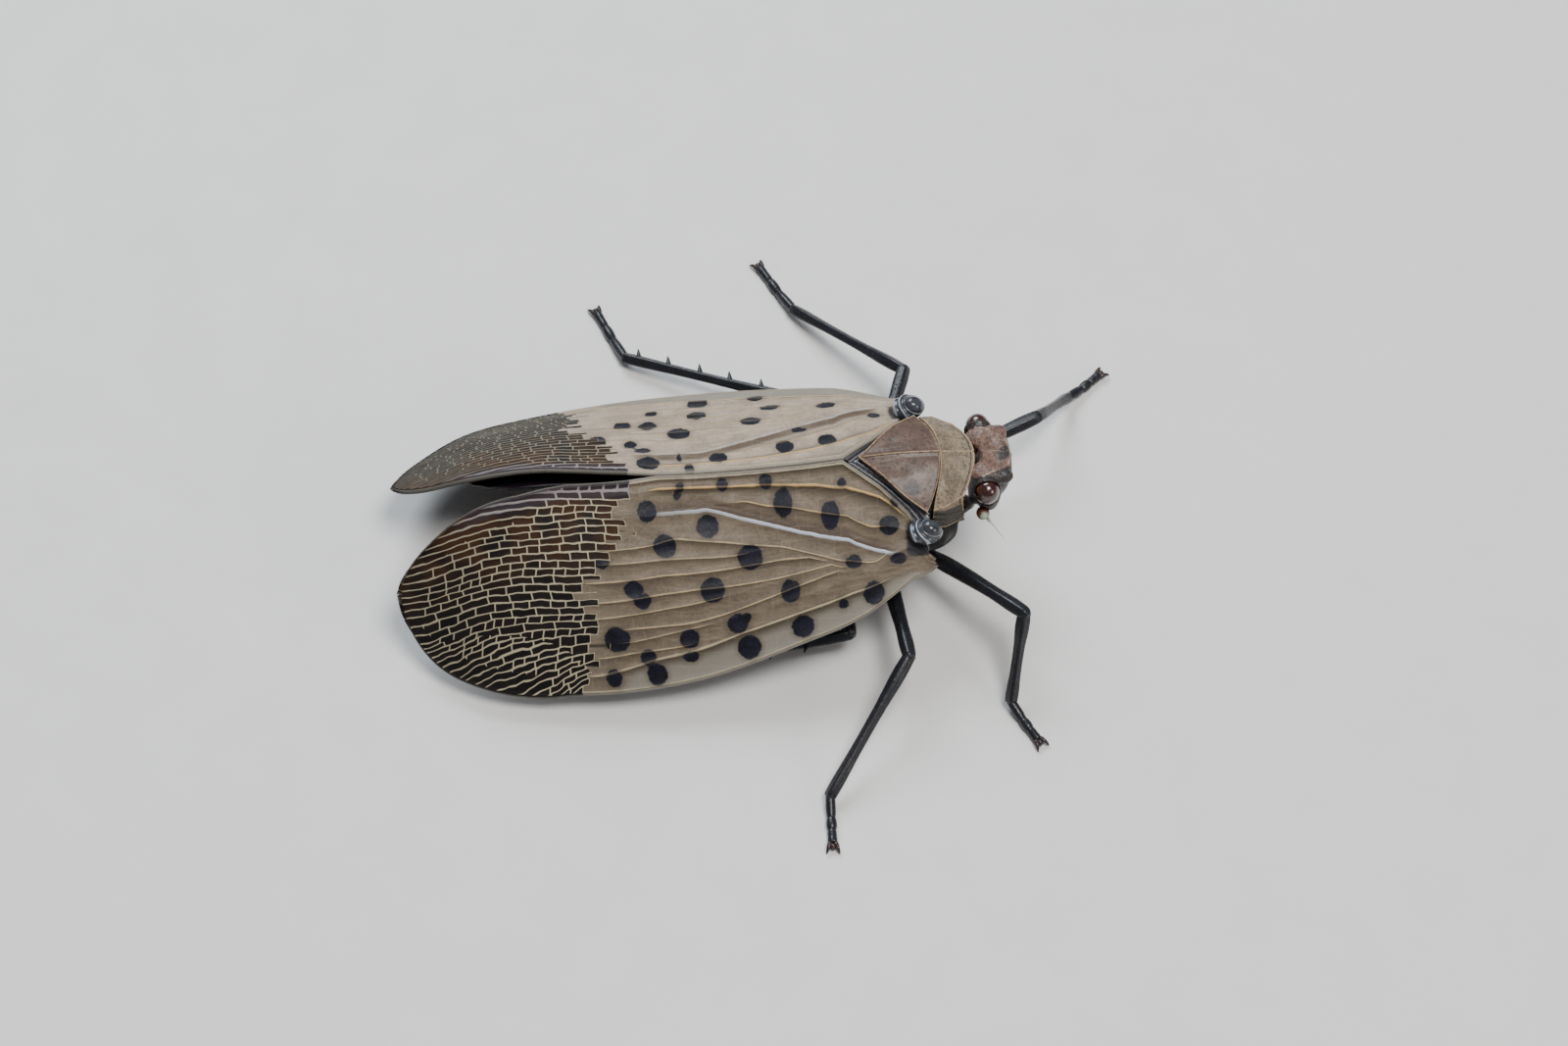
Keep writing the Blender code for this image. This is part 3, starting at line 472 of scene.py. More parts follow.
def out_to(field, centre, directions, reach):
    """Points where the field turns positive for the last time along each direction."""
    centre = np.asarray(centre, float)
    steps = np.linspace(reach, 0.0, 90)
    far = np.full(len(directions), reach)
    near = np.zeros(len(directions))
    found = np.zeros(len(directions), bool)
    for step in steps[1:]:
        inside = field(centre + directions * step) < 0
        fresh = inside & ~found
        near[fresh] = step
        far[fresh] = step + steps[0] - steps[1]
        found |= inside
    for _ in range(14):
        middle = (near + far) / 2
        inside = field(centre + directions * middle[:, None]) < 0
        near = np.where(inside, middle, near)
        far = np.where(inside, far, middle)
    return centre + directions * ((near + far) / 2)[:, None]


def normals_of(mesh):
    normals = np.zeros(len(mesh.vertices) * 3)
    mesh.vertex_normals.foreach_get("vector", normals)
    return normals.reshape(-1, 3)


def push(points, mesh, heights):
    """Moves the points along the mesh's normals."""
    write_points(mesh, points * MM)
    return points + normals_of(mesh) * heights[:, None]


def close_skin(mesh, points):
    """Puts a closed skin's points in place, with its faces outwards."""
    write_points(mesh, points * MM)
    bm = bmesh.new()
    bm.from_mesh(mesh)
    bmesh.ops.recalc_face_normals(bm, faces=bm.faces)
    if bm.calc_volume(signed=True) < 0:
        bmesh.ops.reverse_faces(bm, faces=bm.faces)
    bm.to_mesh(mesh)
    bm.free()


def rest_on_floor(bm):
    """Flattens whatever would reach below the floor."""
    for vert in bm.verts:
        vert.co.z = max(vert.co.z, 0.0)


def sweep(bm, path, radii, sides, flutes=0, depth=0.0):
    """Closed limb, a circle extruded along the path. Flutes are ridges along it."""
    path = [np.asarray(p, float) for p in path]
    tangents = np.gradient(np.array(path), axis=0)
    ring = bmesh.ops.create_circle(bm, cap_ends=False, segments=sides, radius=1.0)["verts"]
    for vert in ring:
        turn = math.atan2(vert.co.y, vert.co.x)
        reach = 1.0 + depth * math.cos(flutes * turn)
        vert.co = Vector((math.cos(turn) * reach, math.sin(turn) * reach, 0.0))
    edges = list({edge for vert in ring for edge in vert.link_edges})
    places = []
    for point, tangent, radius in zip(path, tangents, radii):
        ahead = unit(tangent)
        aside = unit(np.cross(ahead, (0.0, 0.0, 1.0)))
        up = np.cross(aside, ahead)
        rows = [(*(axis[k] * radius for axis in (aside, up, ahead)), point[k]) for k in range(3)]
        places.append(Matrix((*rows, (0.0, 0.0, 0.0, 1.0))))
    bmesh.ops.transform(bm, matrix=places[0], verts=ring)
    bmesh.ops.contextual_create(bm, geom=edges)
    for before, place in zip(places[:-1], places[1:]):
        made = bmesh.ops.extrude_edge_only(bm, edges=edges)["geom"]
        ring = [item for item in made if isinstance(item, bmesh.types.BMVert)]
        edges = [item for item in made if isinstance(item, bmesh.types.BMEdge)]
        edges = [edge for edge in edges if all(vert in ring for vert in edge.verts)]
        bmesh.ops.transform(bm, matrix=place @ before.inverted(), verts=ring)
    bmesh.ops.contextual_create(bm, geom=edges)


def capped(shares, radii, cap):
    """Adds small rings at both ends, so that a limb ends round."""
    first, last = radii[0], radii[-1]
    starts = [(shares[0] - cap * k, first * f) for k, f in ((1.0, 0.25), (0.85, 0.6), (0.5, 0.88))]
    ends = [(shares[-1] + cap * k, last * f) for k, f in ((0.5, 0.88), (0.85, 0.6), (1.0, 0.25))]
    rows = starts + list(zip(shares, radii)) + ends
    return [row[0] for row in rows], [row[1] for row in rows]


# Small helpers for materials.


class Shade:
    """Adds and links the nodes of one material or group."""

    def __init__(self, tree):
        self.tree = tree

    def add(self, kind, **settings):
        node = self.tree.nodes.new(kind)
        for key, value in settings.items():
            setattr(node, key, value)
        return node

    def plug(self, socket, value):
        if isinstance(value, bpy.types.NodeSocket):
            self.tree.links.new(value, socket)
        else:
            socket.default_value = value

    def math(self, operation, a, b=0.0, c=0.0):
        node = self.add("ShaderNodeMath", operation=operation)
        for socket, value in zip(node.inputs, (a, b, c)):
            self.plug(socket, value)
        return node.outputs[0]

    def step(self, value, low, high, start=0.0, end=1.0):
        """Soft ramp from start to end while the value goes from low to high."""
        node = self.add("ShaderNodeMapRange", interpolation_type="SMOOTHSTEP")
        if low > high:
            low, high, start, end = high, low, end, start
        for label, number in (("From Min", low), ("From Max", high), ("To Min", start), ("To Max", end)):
            node.inputs[label].default_value = number
        self.plug(node.inputs["Value"], value)
        return node.outputs[0]

    def times(self, a, b):
        return self.math("MULTIPLY", a, b)

    def plus(self, a, b):
        return self.math("ADD", a, b)

    def minus(self, a, b):
        return self.math("SUBTRACT", a, b)

    def mix(self, share, a, b):
        node = self.add("ShaderNodeMix", data_type="RGBA")
        self.plug(node.inputs[0], share)
        for socket, value in ((node.inputs[6], a), (node.inputs[7], b)):
            self.plug(socket, value if isinstance(value, bpy.types.NodeSocket) else (*value[:3], 1.0))
        return node.outputs[2]

    def noise(self, vector, scale, detail=2.0, roughness=0.5, distortion=0.0):
        node = self.add("ShaderNodeTexNoise")
        values = {"Vector": vector, "Scale": scale, "Detail": detail, "Roughness": roughness}
        for label, value in {**values, "Distortion": distortion}.items():
            self.plug(node.inputs[label], value)
        return node.outputs["Fac"]

    def ripple(self, vector, scale, size, *grain):
        """Noise to both sides of nothing, as wide as size."""
        return self.times(self.minus(self.noise(vector, scale, *grain), 0.5), size)

    def cells(self, vector, scale):
        node = self.add("ShaderNodeTexVoronoi")
        self.plug(node.inputs["Vector"], vector)
        self.plug(node.inputs["Scale"], scale)
        return node.outputs["Distance"]

    def kept(self, name):
        return self.add("ShaderNodeAttribute", attribute_name=name).outputs["Fac"]

    def map(self, name):
        node = self.add("ShaderNodeUVMap", uv_map=name)
        return node.outputs["UV"]

    def split(self, vector):
        node = self.add("ShaderNodeSeparateXYZ")
        self.plug(node.inputs[0], vector)
        return node.outputs

    def join(self, x, y, z=0.0):
        node = self.add("ShaderNodeCombineXYZ")
        for socket, value in zip(node.inputs, (x, y, z)):
            self.plug(socket, value)
        return node.outputs[0]

    def place(self):
        """Object coordinates in millimetres."""
        source = self.add("ShaderNodeTexCoord").outputs["Object"]
        node = self.add("ShaderNodeMapping")
        self.plug(node.inputs["Vector"], source)
        node.inputs["Scale"].default_value = (1 / MM,) * 3
        return node.outputs[0]

    def group(self, name, **values):
        node = self.add("ShaderNodeGroup", node_tree=bpy.data.node_groups[name])
        for label, value in values.items():
            if not isinstance(value, (bpy.types.NodeSocket, float, int)):
                value = (*value, 1.0)
            self.plug(node.inputs[label], value)
        return node.outputs

    def mottle(self, vector, light, dark, blotch, speck, amount):
        values = {"Light": light, "Dark": dark, "Blotch": blotch, "Speck": speck, "Amount": amount}
        return self.group("Mottle", Vector=vector, **values)

    def pits(self, vector, size, depth):
        return self.group("Pits", Vector=vector, Size=size, Depth=depth)

    def bump(self, height, distance, strength=1.0, normal=None):
        node = self.add("ShaderNodeBump")
        node.inputs["Strength"].default_value = strength
        node.inputs["Distance"].default_value = distance * MM
        self.plug(node.inputs["Height"], height)
        if normal is not None:
            self.plug(node.inputs["Normal"], normal)
        return node.outputs[0]


def new_group(name, inputs, outputs):
    """Empty shader group with its sockets. Returns its nodes, inputs and output sockets."""
    tree = bpy.data.node_groups.new(name, "ShaderNodeTree")
    for label, kind, value in inputs:
        socket = tree.interface.new_socket(label, in_out="INPUT", socket_type="NodeSocket" + kind)
        if value is not None:
            socket.default_value = value
    for label, kind in outputs:
        tree.interface.new_socket(label, in_out="OUTPUT", socket_type="NodeSocket" + kind)
    shade = Shade(tree)
    return shade, shade.add("NodeGroupInput").outputs, shade.add("NodeGroupOutput").inputs


def mottle_group():
    """Blotches and fine specks of a dark colour on a light one."""
    colour = (0.5, 0.5, 0.5, 1.0)
    inputs = [("Vector", "Vector", None), ("Light", "Color", colour), ("Dark", "Color", colour)]
    inputs += [("Blotch", "Float", 1.0), ("Speck", "Float", 8.0), ("Amount", "Float", 0.5)]
    s, i, o = new_group("Mottle", inputs, [("Color", "Color"), ("Mask", "Float")])
    blotch = s.step(s.noise(i["Vector"], i["Blotch"], 5.0, 0.6, 0.4), 0.36, 0.64)
    speck = s.step(s.noise(i["Vector"], i["Speck"], 3.0, 0.7), 0.42, 0.7)
    both = s.plus(s.times(blotch, 0.62), s.times(speck, 0.5))
    mask = s.times(both, i["Amount"])
    s.plug(o["Mask"], mask)
    s.plug(o["Color"], s.mix(mask, i["Light"], i["Dark"]))


def pits_group():
    """Small round pits, wrinkles and grains as one height."""
    inputs = [("Vector", "Vector", None), ("Size", "Float", 6.0), ("Depth", "Float", 0.5)]
    s, i, o = new_group("Pits", inputs, [("Height", "Float"), ("Mask", "Float")])
    pit = s.step(s.cells(i["Vector"], i["Size"]), 0.12, 0.5)
    fold = s.noise(i["Vector"], i["Size"], 4.0, 0.6, 0.8)
    height = s.plus(s.times(pit, i["Depth"]), s.times(fold, 0.6))
    s.plug(o["Height"], height)
    # Mask is one in the pits' hollows; crust_material paints shade there.
    s.plug(o["Mask"], s.minus(1.0, pit))


def dust_group():
    """Sparse pale grains and a haze, as a mask."""
    s, i, o = new_group("Dust", [("Vector", "Vector", None), ("Amount", "Float", 0.3)], [("Mask", "Float")])
    grain = s.cells(i["Vector"], 9.0)
    chance = s.step(s.noise(i["Vector"], 1.7, 2.0), 0.5, 0.7)
    dot = s.times(s.step(grain, 0.14, 0.06), chance)
    haze = s.times(s.noise(i["Vector"], 3.1, 4.0, 0.6), 0.35)
    s.plug(o["Mask"], s.times(s.plus(dot, haze), i["Amount"]))


def net_group():
    """Long cells in rows, parted by thin veins. Row and Along are in row widths and millimetres."""
    numbers = {"Row": 0.0, "Along": 0.0, "Pitch": 0.3, "Cell": 0.8, "Open": 0.0, "Fan": 1.0}
    inputs = [(label, "Float", value) for label, value in numbers.items()]
    outputs = [(label, "Float") for label in ("Vein", "Shift", "Tone")]
    s, i, o = new_group("CellNet", inputs, outputs)
    wave_at = s.join(s.times(i["Along"], 0.3), s.times(i["Row"], 0.22))
    kink_at = s.join(s.times(i["Along"], 1.5), s.times(i["Row"], 0.8))
    row = s.plus(i["Row"], s.ripple(wave_at, 1.0, 1.4, 0.0))
    row = s.plus(row, s.ripple(kink_at, 1.0, 0.55, 1.0))
    split = s.plus(1.0, s.math("GREATER_THAN", i["Fan"], 1.42))
    row = s.times(row, split)
    pitch = s.math("DIVIDE", s.times(i["Pitch"], i["Fan"]), split)
    number = s.math("FLOOR", row)
    share = s.math("FRACT", row)
    to_row = s.times(s.math("MINIMUM", share, s.minus(1.0, share)), pitch)
    odd = s.add("ShaderNodeTexWhiteNoise", noise_dimensions="1D")
    s.plug(odd.inputs["W"], number)
    lean = s.times(s.minus(odd.outputs["Value"], 0.5), s.times(share, 0.16))
    length = s.times(i["Cell"], s.plus(0.7, s.times(odd.outputs["Value"], 0.7)))
    at = s.plus(s.math("DIVIDE", s.plus(i["Along"], lean), length), s.times(number, 7.31))
    ends = s.add("ShaderNodeTexVoronoi", voronoi_dimensions="1D", feature="DISTANCE_TO_EDGE")
    middle = s.add("ShaderNodeTexVoronoi", voronoi_dimensions="1D", feature="F1")
    for node in (ends, middle):
        s.plug(node.inputs["W"], at)
        node.inputs["Scale"].default_value = 1.0
        node.inputs["Randomness"].default_value = 0.85
    to_end = s.plus(s.times(ends.outputs["Distance"], length), i["Open"])
    s.plug(o["Vein"], s.math("SMOOTH_MIN", to_row, to_end, 0.05))
    s.plug(o["Shift"], s.times(s.minus(middle.outputs["W"], at), length))
    tone = s.add("ShaderNodeTexWhiteNoise", noise_dimensions="2D")
    s.plug(tone.inputs["Vector"], s.join(number, middle.outputs["W"]))
    s.plug(o["Tone"], tone.outputs["Value"])


def new_material(name):
    """New material, its nodes and its shader's inputs."""
    material = bpy.data.materials.new(name)
    material.use_nodes = True
    shader = material.node_tree.nodes["Principled BSDF"]
    return material, Shade(material.node_tree), shader.inputs


def scaled(colour, factor):
    """Lighter or darker colour."""
    return tuple(min(c * factor, 1.0) for c in colour)


def dress(s, shader, skin, normal, roughness, specular=0.5, coat=0.0, coat_roughness=0.03):
    """Plugs the shader's changing sockets and sets its plain ones."""
    for label, socket in (("Base Color", skin), ("Normal", normal), ("Roughness", roughness)):
        s.plug(shader[label], socket)
    shader["Specular IOR Level"].default_value = specular
    shader["Coat Weight"].default_value = coat
    shader["Coat Roughness"].default_value = coat_roughness


def forewing_material(label, settings):
    """Membrane with veins, spots, the folded claval line and the netted tip, with painted shadow beside the
    veins and a painted highlight and shadow along the fold.
    """
    material, s, shader = new_material(f"forewing_{label}_membrane")
    strip, vein, spot, dark = settings.strip, settings.vein, settings.spot, settings.net
    # Each side has its own membrane colour; the left one is set lighter as a painted sheen.
    membrane, web_tone = (getattr(settings, f"{kind}_{label}") for kind in ("membrane", "web"))
    here = s.place()
    across, along, _ = s.split(s.map("NetRows"))
    x, w, _ = s.split(s.map("OnWing"))
    tint = s.mottle(here, membrane, scaled(membrane, 0.5), 0.8, 7.0, 0.75)
    skin = tint["Color"]
    streak = s.noise(s.join(x, s.times(w, 5.0)), 0.9, 4.0, 0.65)
    skin = s.mix(s.step(streak, 0.48, 0.75, 0.0, 0.5), skin, scaled(membrane, 1.5))
    skin = s.mix(s.step(s.kept("costal"), -0.1, 0.35, 0.0, 0.75), skin, strip)
    # Painted shadow: the membrane is darkened just on the costal side of each vein, as shade from the vein.
    rank = s.kept("rank")
    lee = s.times(s.step(s.kept("lee"), 0.5, 0.02), rank)
    skin = s.mix(s.times(lee, 0.7), skin, scaled(membrane, 0.36))
    ripple = s.minus(s.noise(here, 2.2, 3.0), 0.5)
    fold = s.plus(s.kept("fold"), s.times(ripple, 0.08))
    shadow = s.times(s.step(fold, -0.55, -0.12), s.step(fold, 0.03, -0.03))
    shadow = s.times(shadow, s.kept("foldline"))
    skin = s.mix(s.times(shadow, 0.8), skin, FOLD_SHADOW)
    # Painted highlight: a pale band along the ridge of the claval fold, its strength set for each wing.
    band = s.times(s.step(fold, -0.02, 0.03), s.step(fold, 0.17, 0.1))
    edges = s.step(s.math("ABSOLUTE", s.minus(fold, 0.08)), 0.005, 0.025, 0.55, 1.0)
    fades = s.times(s.kept("foldline"), s.step(x, -5.5, 1.5, 0.4, 1.0))
    band = s.times(s.times(band, edges), fades)
    skin = s.mix(s.times(band, getattr(settings, f"shine_{label}")), skin, settings.fold_highlight)

    wander = s.ripple(here, 6.0, 0.025)
    thick = s.times(rank, s.step(s.noise(here, 1.3, 2.0), 0.3, 0.7, 0.04, 0.065))
    near = s.math("DIVIDE", s.plus(s.kept("vein"), wander), s.math("MAXIMUM", thick, 0.004))
    on_vein = s.step(near, 1.0, 0.4)
    on_vein = s.times(on_vein, s.step(rank, 0.05, 0.4))
    skin = s.mix(s.times(on_vein, 0.75), skin, s.mix(s.kept("warm"), vein, settings.warm_vein))
    twig = s.group("CellNet", Row=s.times(w, 1.9), Along=x, Pitch=0.52, Cell=1.9)
    skin = s.mix(s.step(twig["Vein"], 0.03, 0.01, 0.0, 0.1), skin, vein)

    edge = s.ripple(here, 3.2, 0.2, 3.0, 0.65)
    spot_edge = s.plus(s.kept("spot"), edge)
    on_spot = s.step(spot_edge, 0.04, -0.03)
    skin = s.mix(s.step(spot_edge, 0.25, 0.02, 0.0, 0.4), skin, scaled(membrane, 0.45))
    ink = s.mottle(here, scaled(spot, 1.6), scaled(spot, 0.3), 2.0, 11.0, 1.0)
    shows = s.times(on_spot, s.minus(1.0, s.times(on_vein, 0.3)))
    skin = s.mix(shows, skin, ink["Color"])

    open_ended = s.times(s.step(s.kept("rim"), 1.1, 0.6), s.step(x, -9.5, -11.5))
    spread = {"Open": open_ended, "Fan": s.kept("fan")}
    net = s.group("CellNet", Row=across, Along=along, Pitch=NET_PITCH, Cell=0.72, **spread)
    inside = s.step(s.plus(s.kept("net"), net["Shift"]), -0.02, 0.03)
    swollen = s.times(s.kept("hem"), 0.02)
    web = s.step(s.minus(net["Vein"], swollen), 0.04, 0.014)
    web = s.times(web, s.step(s.kept("rim"), 0.08, 0.2))
    cell = s.mix(net["Tone"], dark, scaled(dark, 0.35))
    ruddy = s.times(s.kept("brown"), s.step(s.noise(here, 0.8, 3.0), 0.3, 0.65))
    cell = s.mix(s.times(ruddy, 0.9), cell, CELL_RUST)
    cell = s.mix(s.times(s.kept("hem"), 0.8), cell, HEM_CELL)
    thread = s.mix(s.step(s.kept("net"), 7.0, 2.0), scaled(vein, 0.75 * web_tone), scaled(vein, web_tone))
    thread = s.mix(s.kept("hem"), thread, HEM_THREAD)
    skin = s.mix(inside, skin, s.mix(web, cell, thread))
    rim = s.step(s.kept("rim"), 0.075, 0.04, 0.0, 0.8)
    skin = s.mix(rim, skin, s.mix(inside, strip, scaled(strip, 0.55)))
    root = s.step(s.plus(s.kept("root"), s.times(ripple, 0.7)), 0.35, 0.7)
    skin = s.mix(s.times(root, 0.9), skin, WING_ROOT)

    sunk = s.times(inside, s.step(net["Vein"], 0.01, 0.08))
    height = s.minus(s.times(on_vein, 0.8), s.times(sunk, 0.7))
    coarse = s.bump(height, 0.03)
    grain = s.pits(here, 6.0, 0.2)["Height"]
    dull = s.plus(0.48, s.times(s.minus(tint["Mask"], 0.3), 0.25))
    dull = s.plus(dull, s.times(inside, 0.15))
    dress(s, shader, skin, s.bump(grain, 0.02, 0.7, coarse), dull, specular=0.18)
    return material


def crust_material(name, light, dark, ridge, black, roughness, coat, pits, blotch=1.6):
    """Body plate: mottled, with pale ridges and black marks kept on the mesh, and painted shade in its pits.
    Some pieces' marks and ridges also hold painted shade and highlights.
    """
    material, s, shader = new_material(name)
    here = s.place()
    tint = s.mottle(here, light, dark, blotch, 10.0, 0.85)
    ragged = s.ripple(here, 4.0, 0.7, 4.0, 0.65)
    mark = s.step(s.plus(s.kept("mark"), ragged), 0.35, 0.6)
    line = s.step(s.plus(s.kept("ridge"), s.times(ragged, 0.4)), 0.4, 0.75)
    skin = s.mix(s.times(mark, 0.92), tint["Color"], black)
    skin = s.mix(s.times(line, 0.85), skin, ridge)
    haze = s.group("Dust", Vector=here, Amount=0.22)["Mask"]
    skin = s.mix(haze, skin, PLATE_DUST)
    rough = s.pits(here, pits, 0.35)
    # Painted shade: the hollows of the pits are darkened.
    skin = s.mix(s.times(rough["Mask"], 0.5), skin, scaled(dark, 0.6))
    dull = s.plus(roughness - 0.1, s.times(tint["Mask"], 0.25))
    dress(s, shader, skin, s.bump(rough["Height"], 0.03), dull, 0.3, coat, 0.2)
    return material


def leg_material(name, colour, sheen, rust):
    """Black limb with a painted blue-grey sheen on its ridges and upper faces, and rust on its underside."""
    material, s, shader = new_material(name)
    here = s.place()
    tint = s.mottle(here, scaled(colour, 2.2), scaled(colour, 0.5), 2.4, 9.0, 1.0)
    # Painted sheen: blue-grey laid where the ridge mark is high, broken up by noise.
    painted_sheen = s.times(s.kept("ridge"), s.step(s.noise(here, 2.0, 4.0, 0.6), 0.35, 0.7))
    skin = s.mix(s.times(painted_sheen, 0.6), tint["Color"], sheen)
    ruddy = s.times(s.kept("mark"), s.step(s.noise(here, 1.6, 3.0), 0.3, 0.55))
    skin = s.mix(ruddy, skin, rust)
    haze = s.group("Dust", Vector=here, Amount=0.1)["Mask"]
    skin = s.mix(haze, skin, LEG_DUST)
    rough = s.pits(here, 9.0, 0.5)["Height"]
    dull = s.plus(0.22, s.times(tint["Mask"], 0.2))
    dress(s, shader, skin, s.bump(rough, 0.02, 0.7), dull, 0.28, 0.15, 0.15)
    return material


def eye_material(name, colour):
    """Fine facets under a glossy surface, darker towards the rear."""
    material, s, shader = new_material(name)
    here = s.place()
    facets = s.cells(here, 22.0)
    tone = s.noise(here, 2.2, 3.0)
    deep = s.mix(s.step(tone, 0.35, 0.7), colour, scaled(colour, 0.25))
    deep = s.mix(s.step(s.kept("mark"), 0.2, 0.9), deep, EYE_DEPTH)
    dull = s.plus(0.12, s.times(tone, 0.12))
    dress(s, shader, deep, s.bump(facets, 0.012, 0.35), dull, coat=0.9, coat_roughness=0.06)
    return material


def feeler_material(name, colour, tip):
    """Orange base that pales to a clear, glossy outer end."""
    material, s, shader = new_material(name)
    here = s.place()
    tint = s.mottle(here, colour, scaled(colour, 0.4), 5.0, 16.0, 0.8)
    skin = s.mix(s.kept("ridge"), tint["Color"], tip)
    dull = s.step(s.kept("ridge"), 0.2, 0.9, 0.45, 0.18)
    dress(s, shader, skin, s.bump(s.cells(here, 11.0), 0.02, 0.5), dull, coat=0.5, coat_roughness=0.1)
    return material


def hindwing_material(name, red, white, black):
    """Red base with black spots, a white bar and a black tip, all finely veined."""
    material, s, shader = new_material(name)
    here = s.place()
    x, w, _ = s.split(s.map("OnWing"))
    bend = s.plus(x, s.ripple(here, 0.8, 1.6, 3.0))
    tint = s.mottle(here, red, scaled(red, 0.5), 1.2, 8.0, 0.6)["Color"]
    skin = s.mix(s.step(bend, -3.4, -4.0), tint, white)
    skin = s.mix(s.step(s.plus(bend, s.times(w, 0.35)), -4.0, -4.6), skin, black)
    blots = s.cells(s.join(x, w), 0.62)
    skin = s.mix(s.times(s.step(blots, 0.3, 0.24), s.step(bend, -3.3, -2.8)), skin, black)
    pleat = s.math("ABSOLUTE", s.minus(s.math("FRACT", s.times(w, PLEATS)), 0.5))
    rib = s.step(pleat, 0.06, 0.02)
    skin = s.mix(s.times(rib, 0.5), skin, scaled(red, 0.35))
    normal = s.bump(s.plus(rib, s.noise(here, 6.0, 3.0)), 0.03, 0.6)
    dress(s, shader, skin, normal, s.plus(0.4, s.times(s.noise(here, 5.0), 0.25)))
    return material


def trunk_material(name, chest, belly, seam):
    """Dark chest with pale seams, and a yellow belly with a black band on each ring."""
    material, s, shader = new_material(name)
    here = s.place()
    front = s.mottle(here, scaled(chest, 1.8), scaled(chest, 0.5), 1.4, 9.0, 1.0)
    rear = s.mottle(here, belly, scaled(belly, 0.55), 1.3, 9.0, 0.6)
    ragged = s.ripple(here, 2.5, 0.8, 4.0, 0.6)
    banded = s.step(s.plus(s.kept("band"), ragged), 0.3, 0.55)
    hind = s.mix(banded, rear["Color"], BELLY_BAND)
    skin = s.mix(s.kept("belly"), front["Color"], hind)
    skin = s.mix(s.times(s.kept("ridge"), 0.8), skin, seam)
    rough = s.pits(here, 4.5, 0.4)["Height"]
    dull = s.plus(0.42, s.times(front["Mask"], 0.25))
    dress(s, shader, skin, s.bump(rough, 0.03, 0.7), dull, 0.25)
    return material


def floor_material(name, colour):
    """Pale matt floor with a faint grain."""
    material, s, shader = new_material(name)
    here = s.place()
    grain = s.noise(here, 0.35, 4.0, 0.55)
    skin = s.mix(s.step(grain, 0.3, 0.7, 0.0, 0.35), colour, scaled(colour, 0.94))
    dull = s.step(grain, 0.2, 0.8, 0.55, 0.65)
    dress(s, shader, skin, s.bump(s.noise(here, 3.0, 3.0), 0.02, 0.3), dull)
    return material


# Wings.


def roof(x, w, side):
    """Points on the closed wings' upper surface, w across the roof from the midline."""
    slope = np.radians(curve(x, ROOF_X, ROOF_SLOPE))
    fade = np.clip((x - ROOF_X[0]) / 5.0, 0, 1) * np.clip((ROOF_X[-1] + 0.5 - x) / 4.0, 0, 1)
    bulge = ROOF_CAMBER * np.sin(math.pi * np.clip(w / ROOF_SPAN, 0, 1)) * fade
    y = w * np.cos(slope) + bulge * np.sin(slope)
    z = curve(x, ROOF_X, ROOF_RIDGE) - w * np.sin(slope) + bulge * np.cos(slope)
    return np.stack(np.broadcast_arrays(x, side * y, z), axis=-1)


def costal_edge(x):
    """Distance across of the forewing's outer edge at the station."""
    tip = WING_APEX_W + (WING_COSTA_W[0] - WING_APEX_W) * rounded(
        (WING_COSTA_X[0] - x) / (WING_COSTA_X[0] - WING_APEX_X), WING_ROUND
    )
    base = WING_SHOULDER_W + (WING_COSTA_W[-1] - WING_SHOULDER_W) * rounded(
        (x - WING_COSTA_X[-1]) / (WING_BASE_X - WING_COSTA_X[-1]), 2.0
    )
    middle = curve(x, WING_COSTA_X, WING_COSTA_W)
    return np.where(x < WING_COSTA_X[0], tip, np.where(x > WING_COSTA_X[-1], base, middle))


def inner_edge(x):
    """Distance across of the forewing's inner edge at the station."""
    tip = WING_APEX_W - (WING_APEX_W - WING_INNER_W[0]) * rounded(
        (WING_INNER_X[0] - x) / (WING_INNER_X[0] - WING_APEX_X), WING_ROUND
    )
    return np.where(x < WING_INNER_X[0], tip, np.interp(x, WING_INNER_X, WING_INNER_W))


def eased(values, times=4):
    """Softens the bends of each column of numbers, keeping its ends."""
    values = values.copy()
    for _ in range(times):
        values[1:-1] = values[:-2] * 0.25 + values[1:-1] * 0.5 + values[2:] * 0.25
    return values


def wing_lines(x):
    """Distance across of every wing line at the stations, and each vein's strength there."""
    near, far = inner_edge(x), costal_edge(x)
    count = len(WING_LINES)
    shares, strengths = [], []
    for number, (name, width, _, _, _, points) in enumerate(WING_LINES):
        if points is None:
            rim = np.minimum(RIM_IN, (far - near) * 0.2) / (far - near)
            shares.append(rim if name == "inner_rim" else 1.0 - rim)
            strengths.append(np.full(len(x), width))
            continue
        xs, ws = np.array(points).T
        at = (ws - inner_edge(xs)) / (costal_edge(xs) - inner_edge(xs))
        even = (number + 1) / (count + 1)
        stations = [WING_APEX_X, *xs, WING_BASE_X]
        shares.append(eased(np.interp(x, stations, [at[0] * 0.6 + even * 0.4, *at, even]), 6))
        fade = smoothstep(x, xs[0] - 0.9, xs[0] + 0.2) * smoothstep(x, xs[-1] + 0.9, xs[-1] - 0.1)
        strengths.append(width * fade)
    lines = near + np.array(shares) * (far - near)
    lines = np.vstack([near, lines, far])
    room = np.minimum(LINE_GAP, (far - near) / (2 * count))
    for k in range(1, count + 1):
        lines[k] = np.maximum(lines[k], lines[k - 1] + room)
    for k in range(count, 0, -1):
        lines[k] = np.minimum(lines[k], lines[k + 1] - room)
    return lines, np.array(strengths)


def spot_distance(x, w, spots):
    """Distance outside the nearest spot, less than nothing inside it."""
    best = np.full(x.shape, 9.0)
    for cx, cw, rx, rw in spots:
        reach = np.hypot((x - cx) / rx, (w - cw) / rw)
        best = np.minimum(best, (reach - 1.0) * min(rx, rw))
    return best


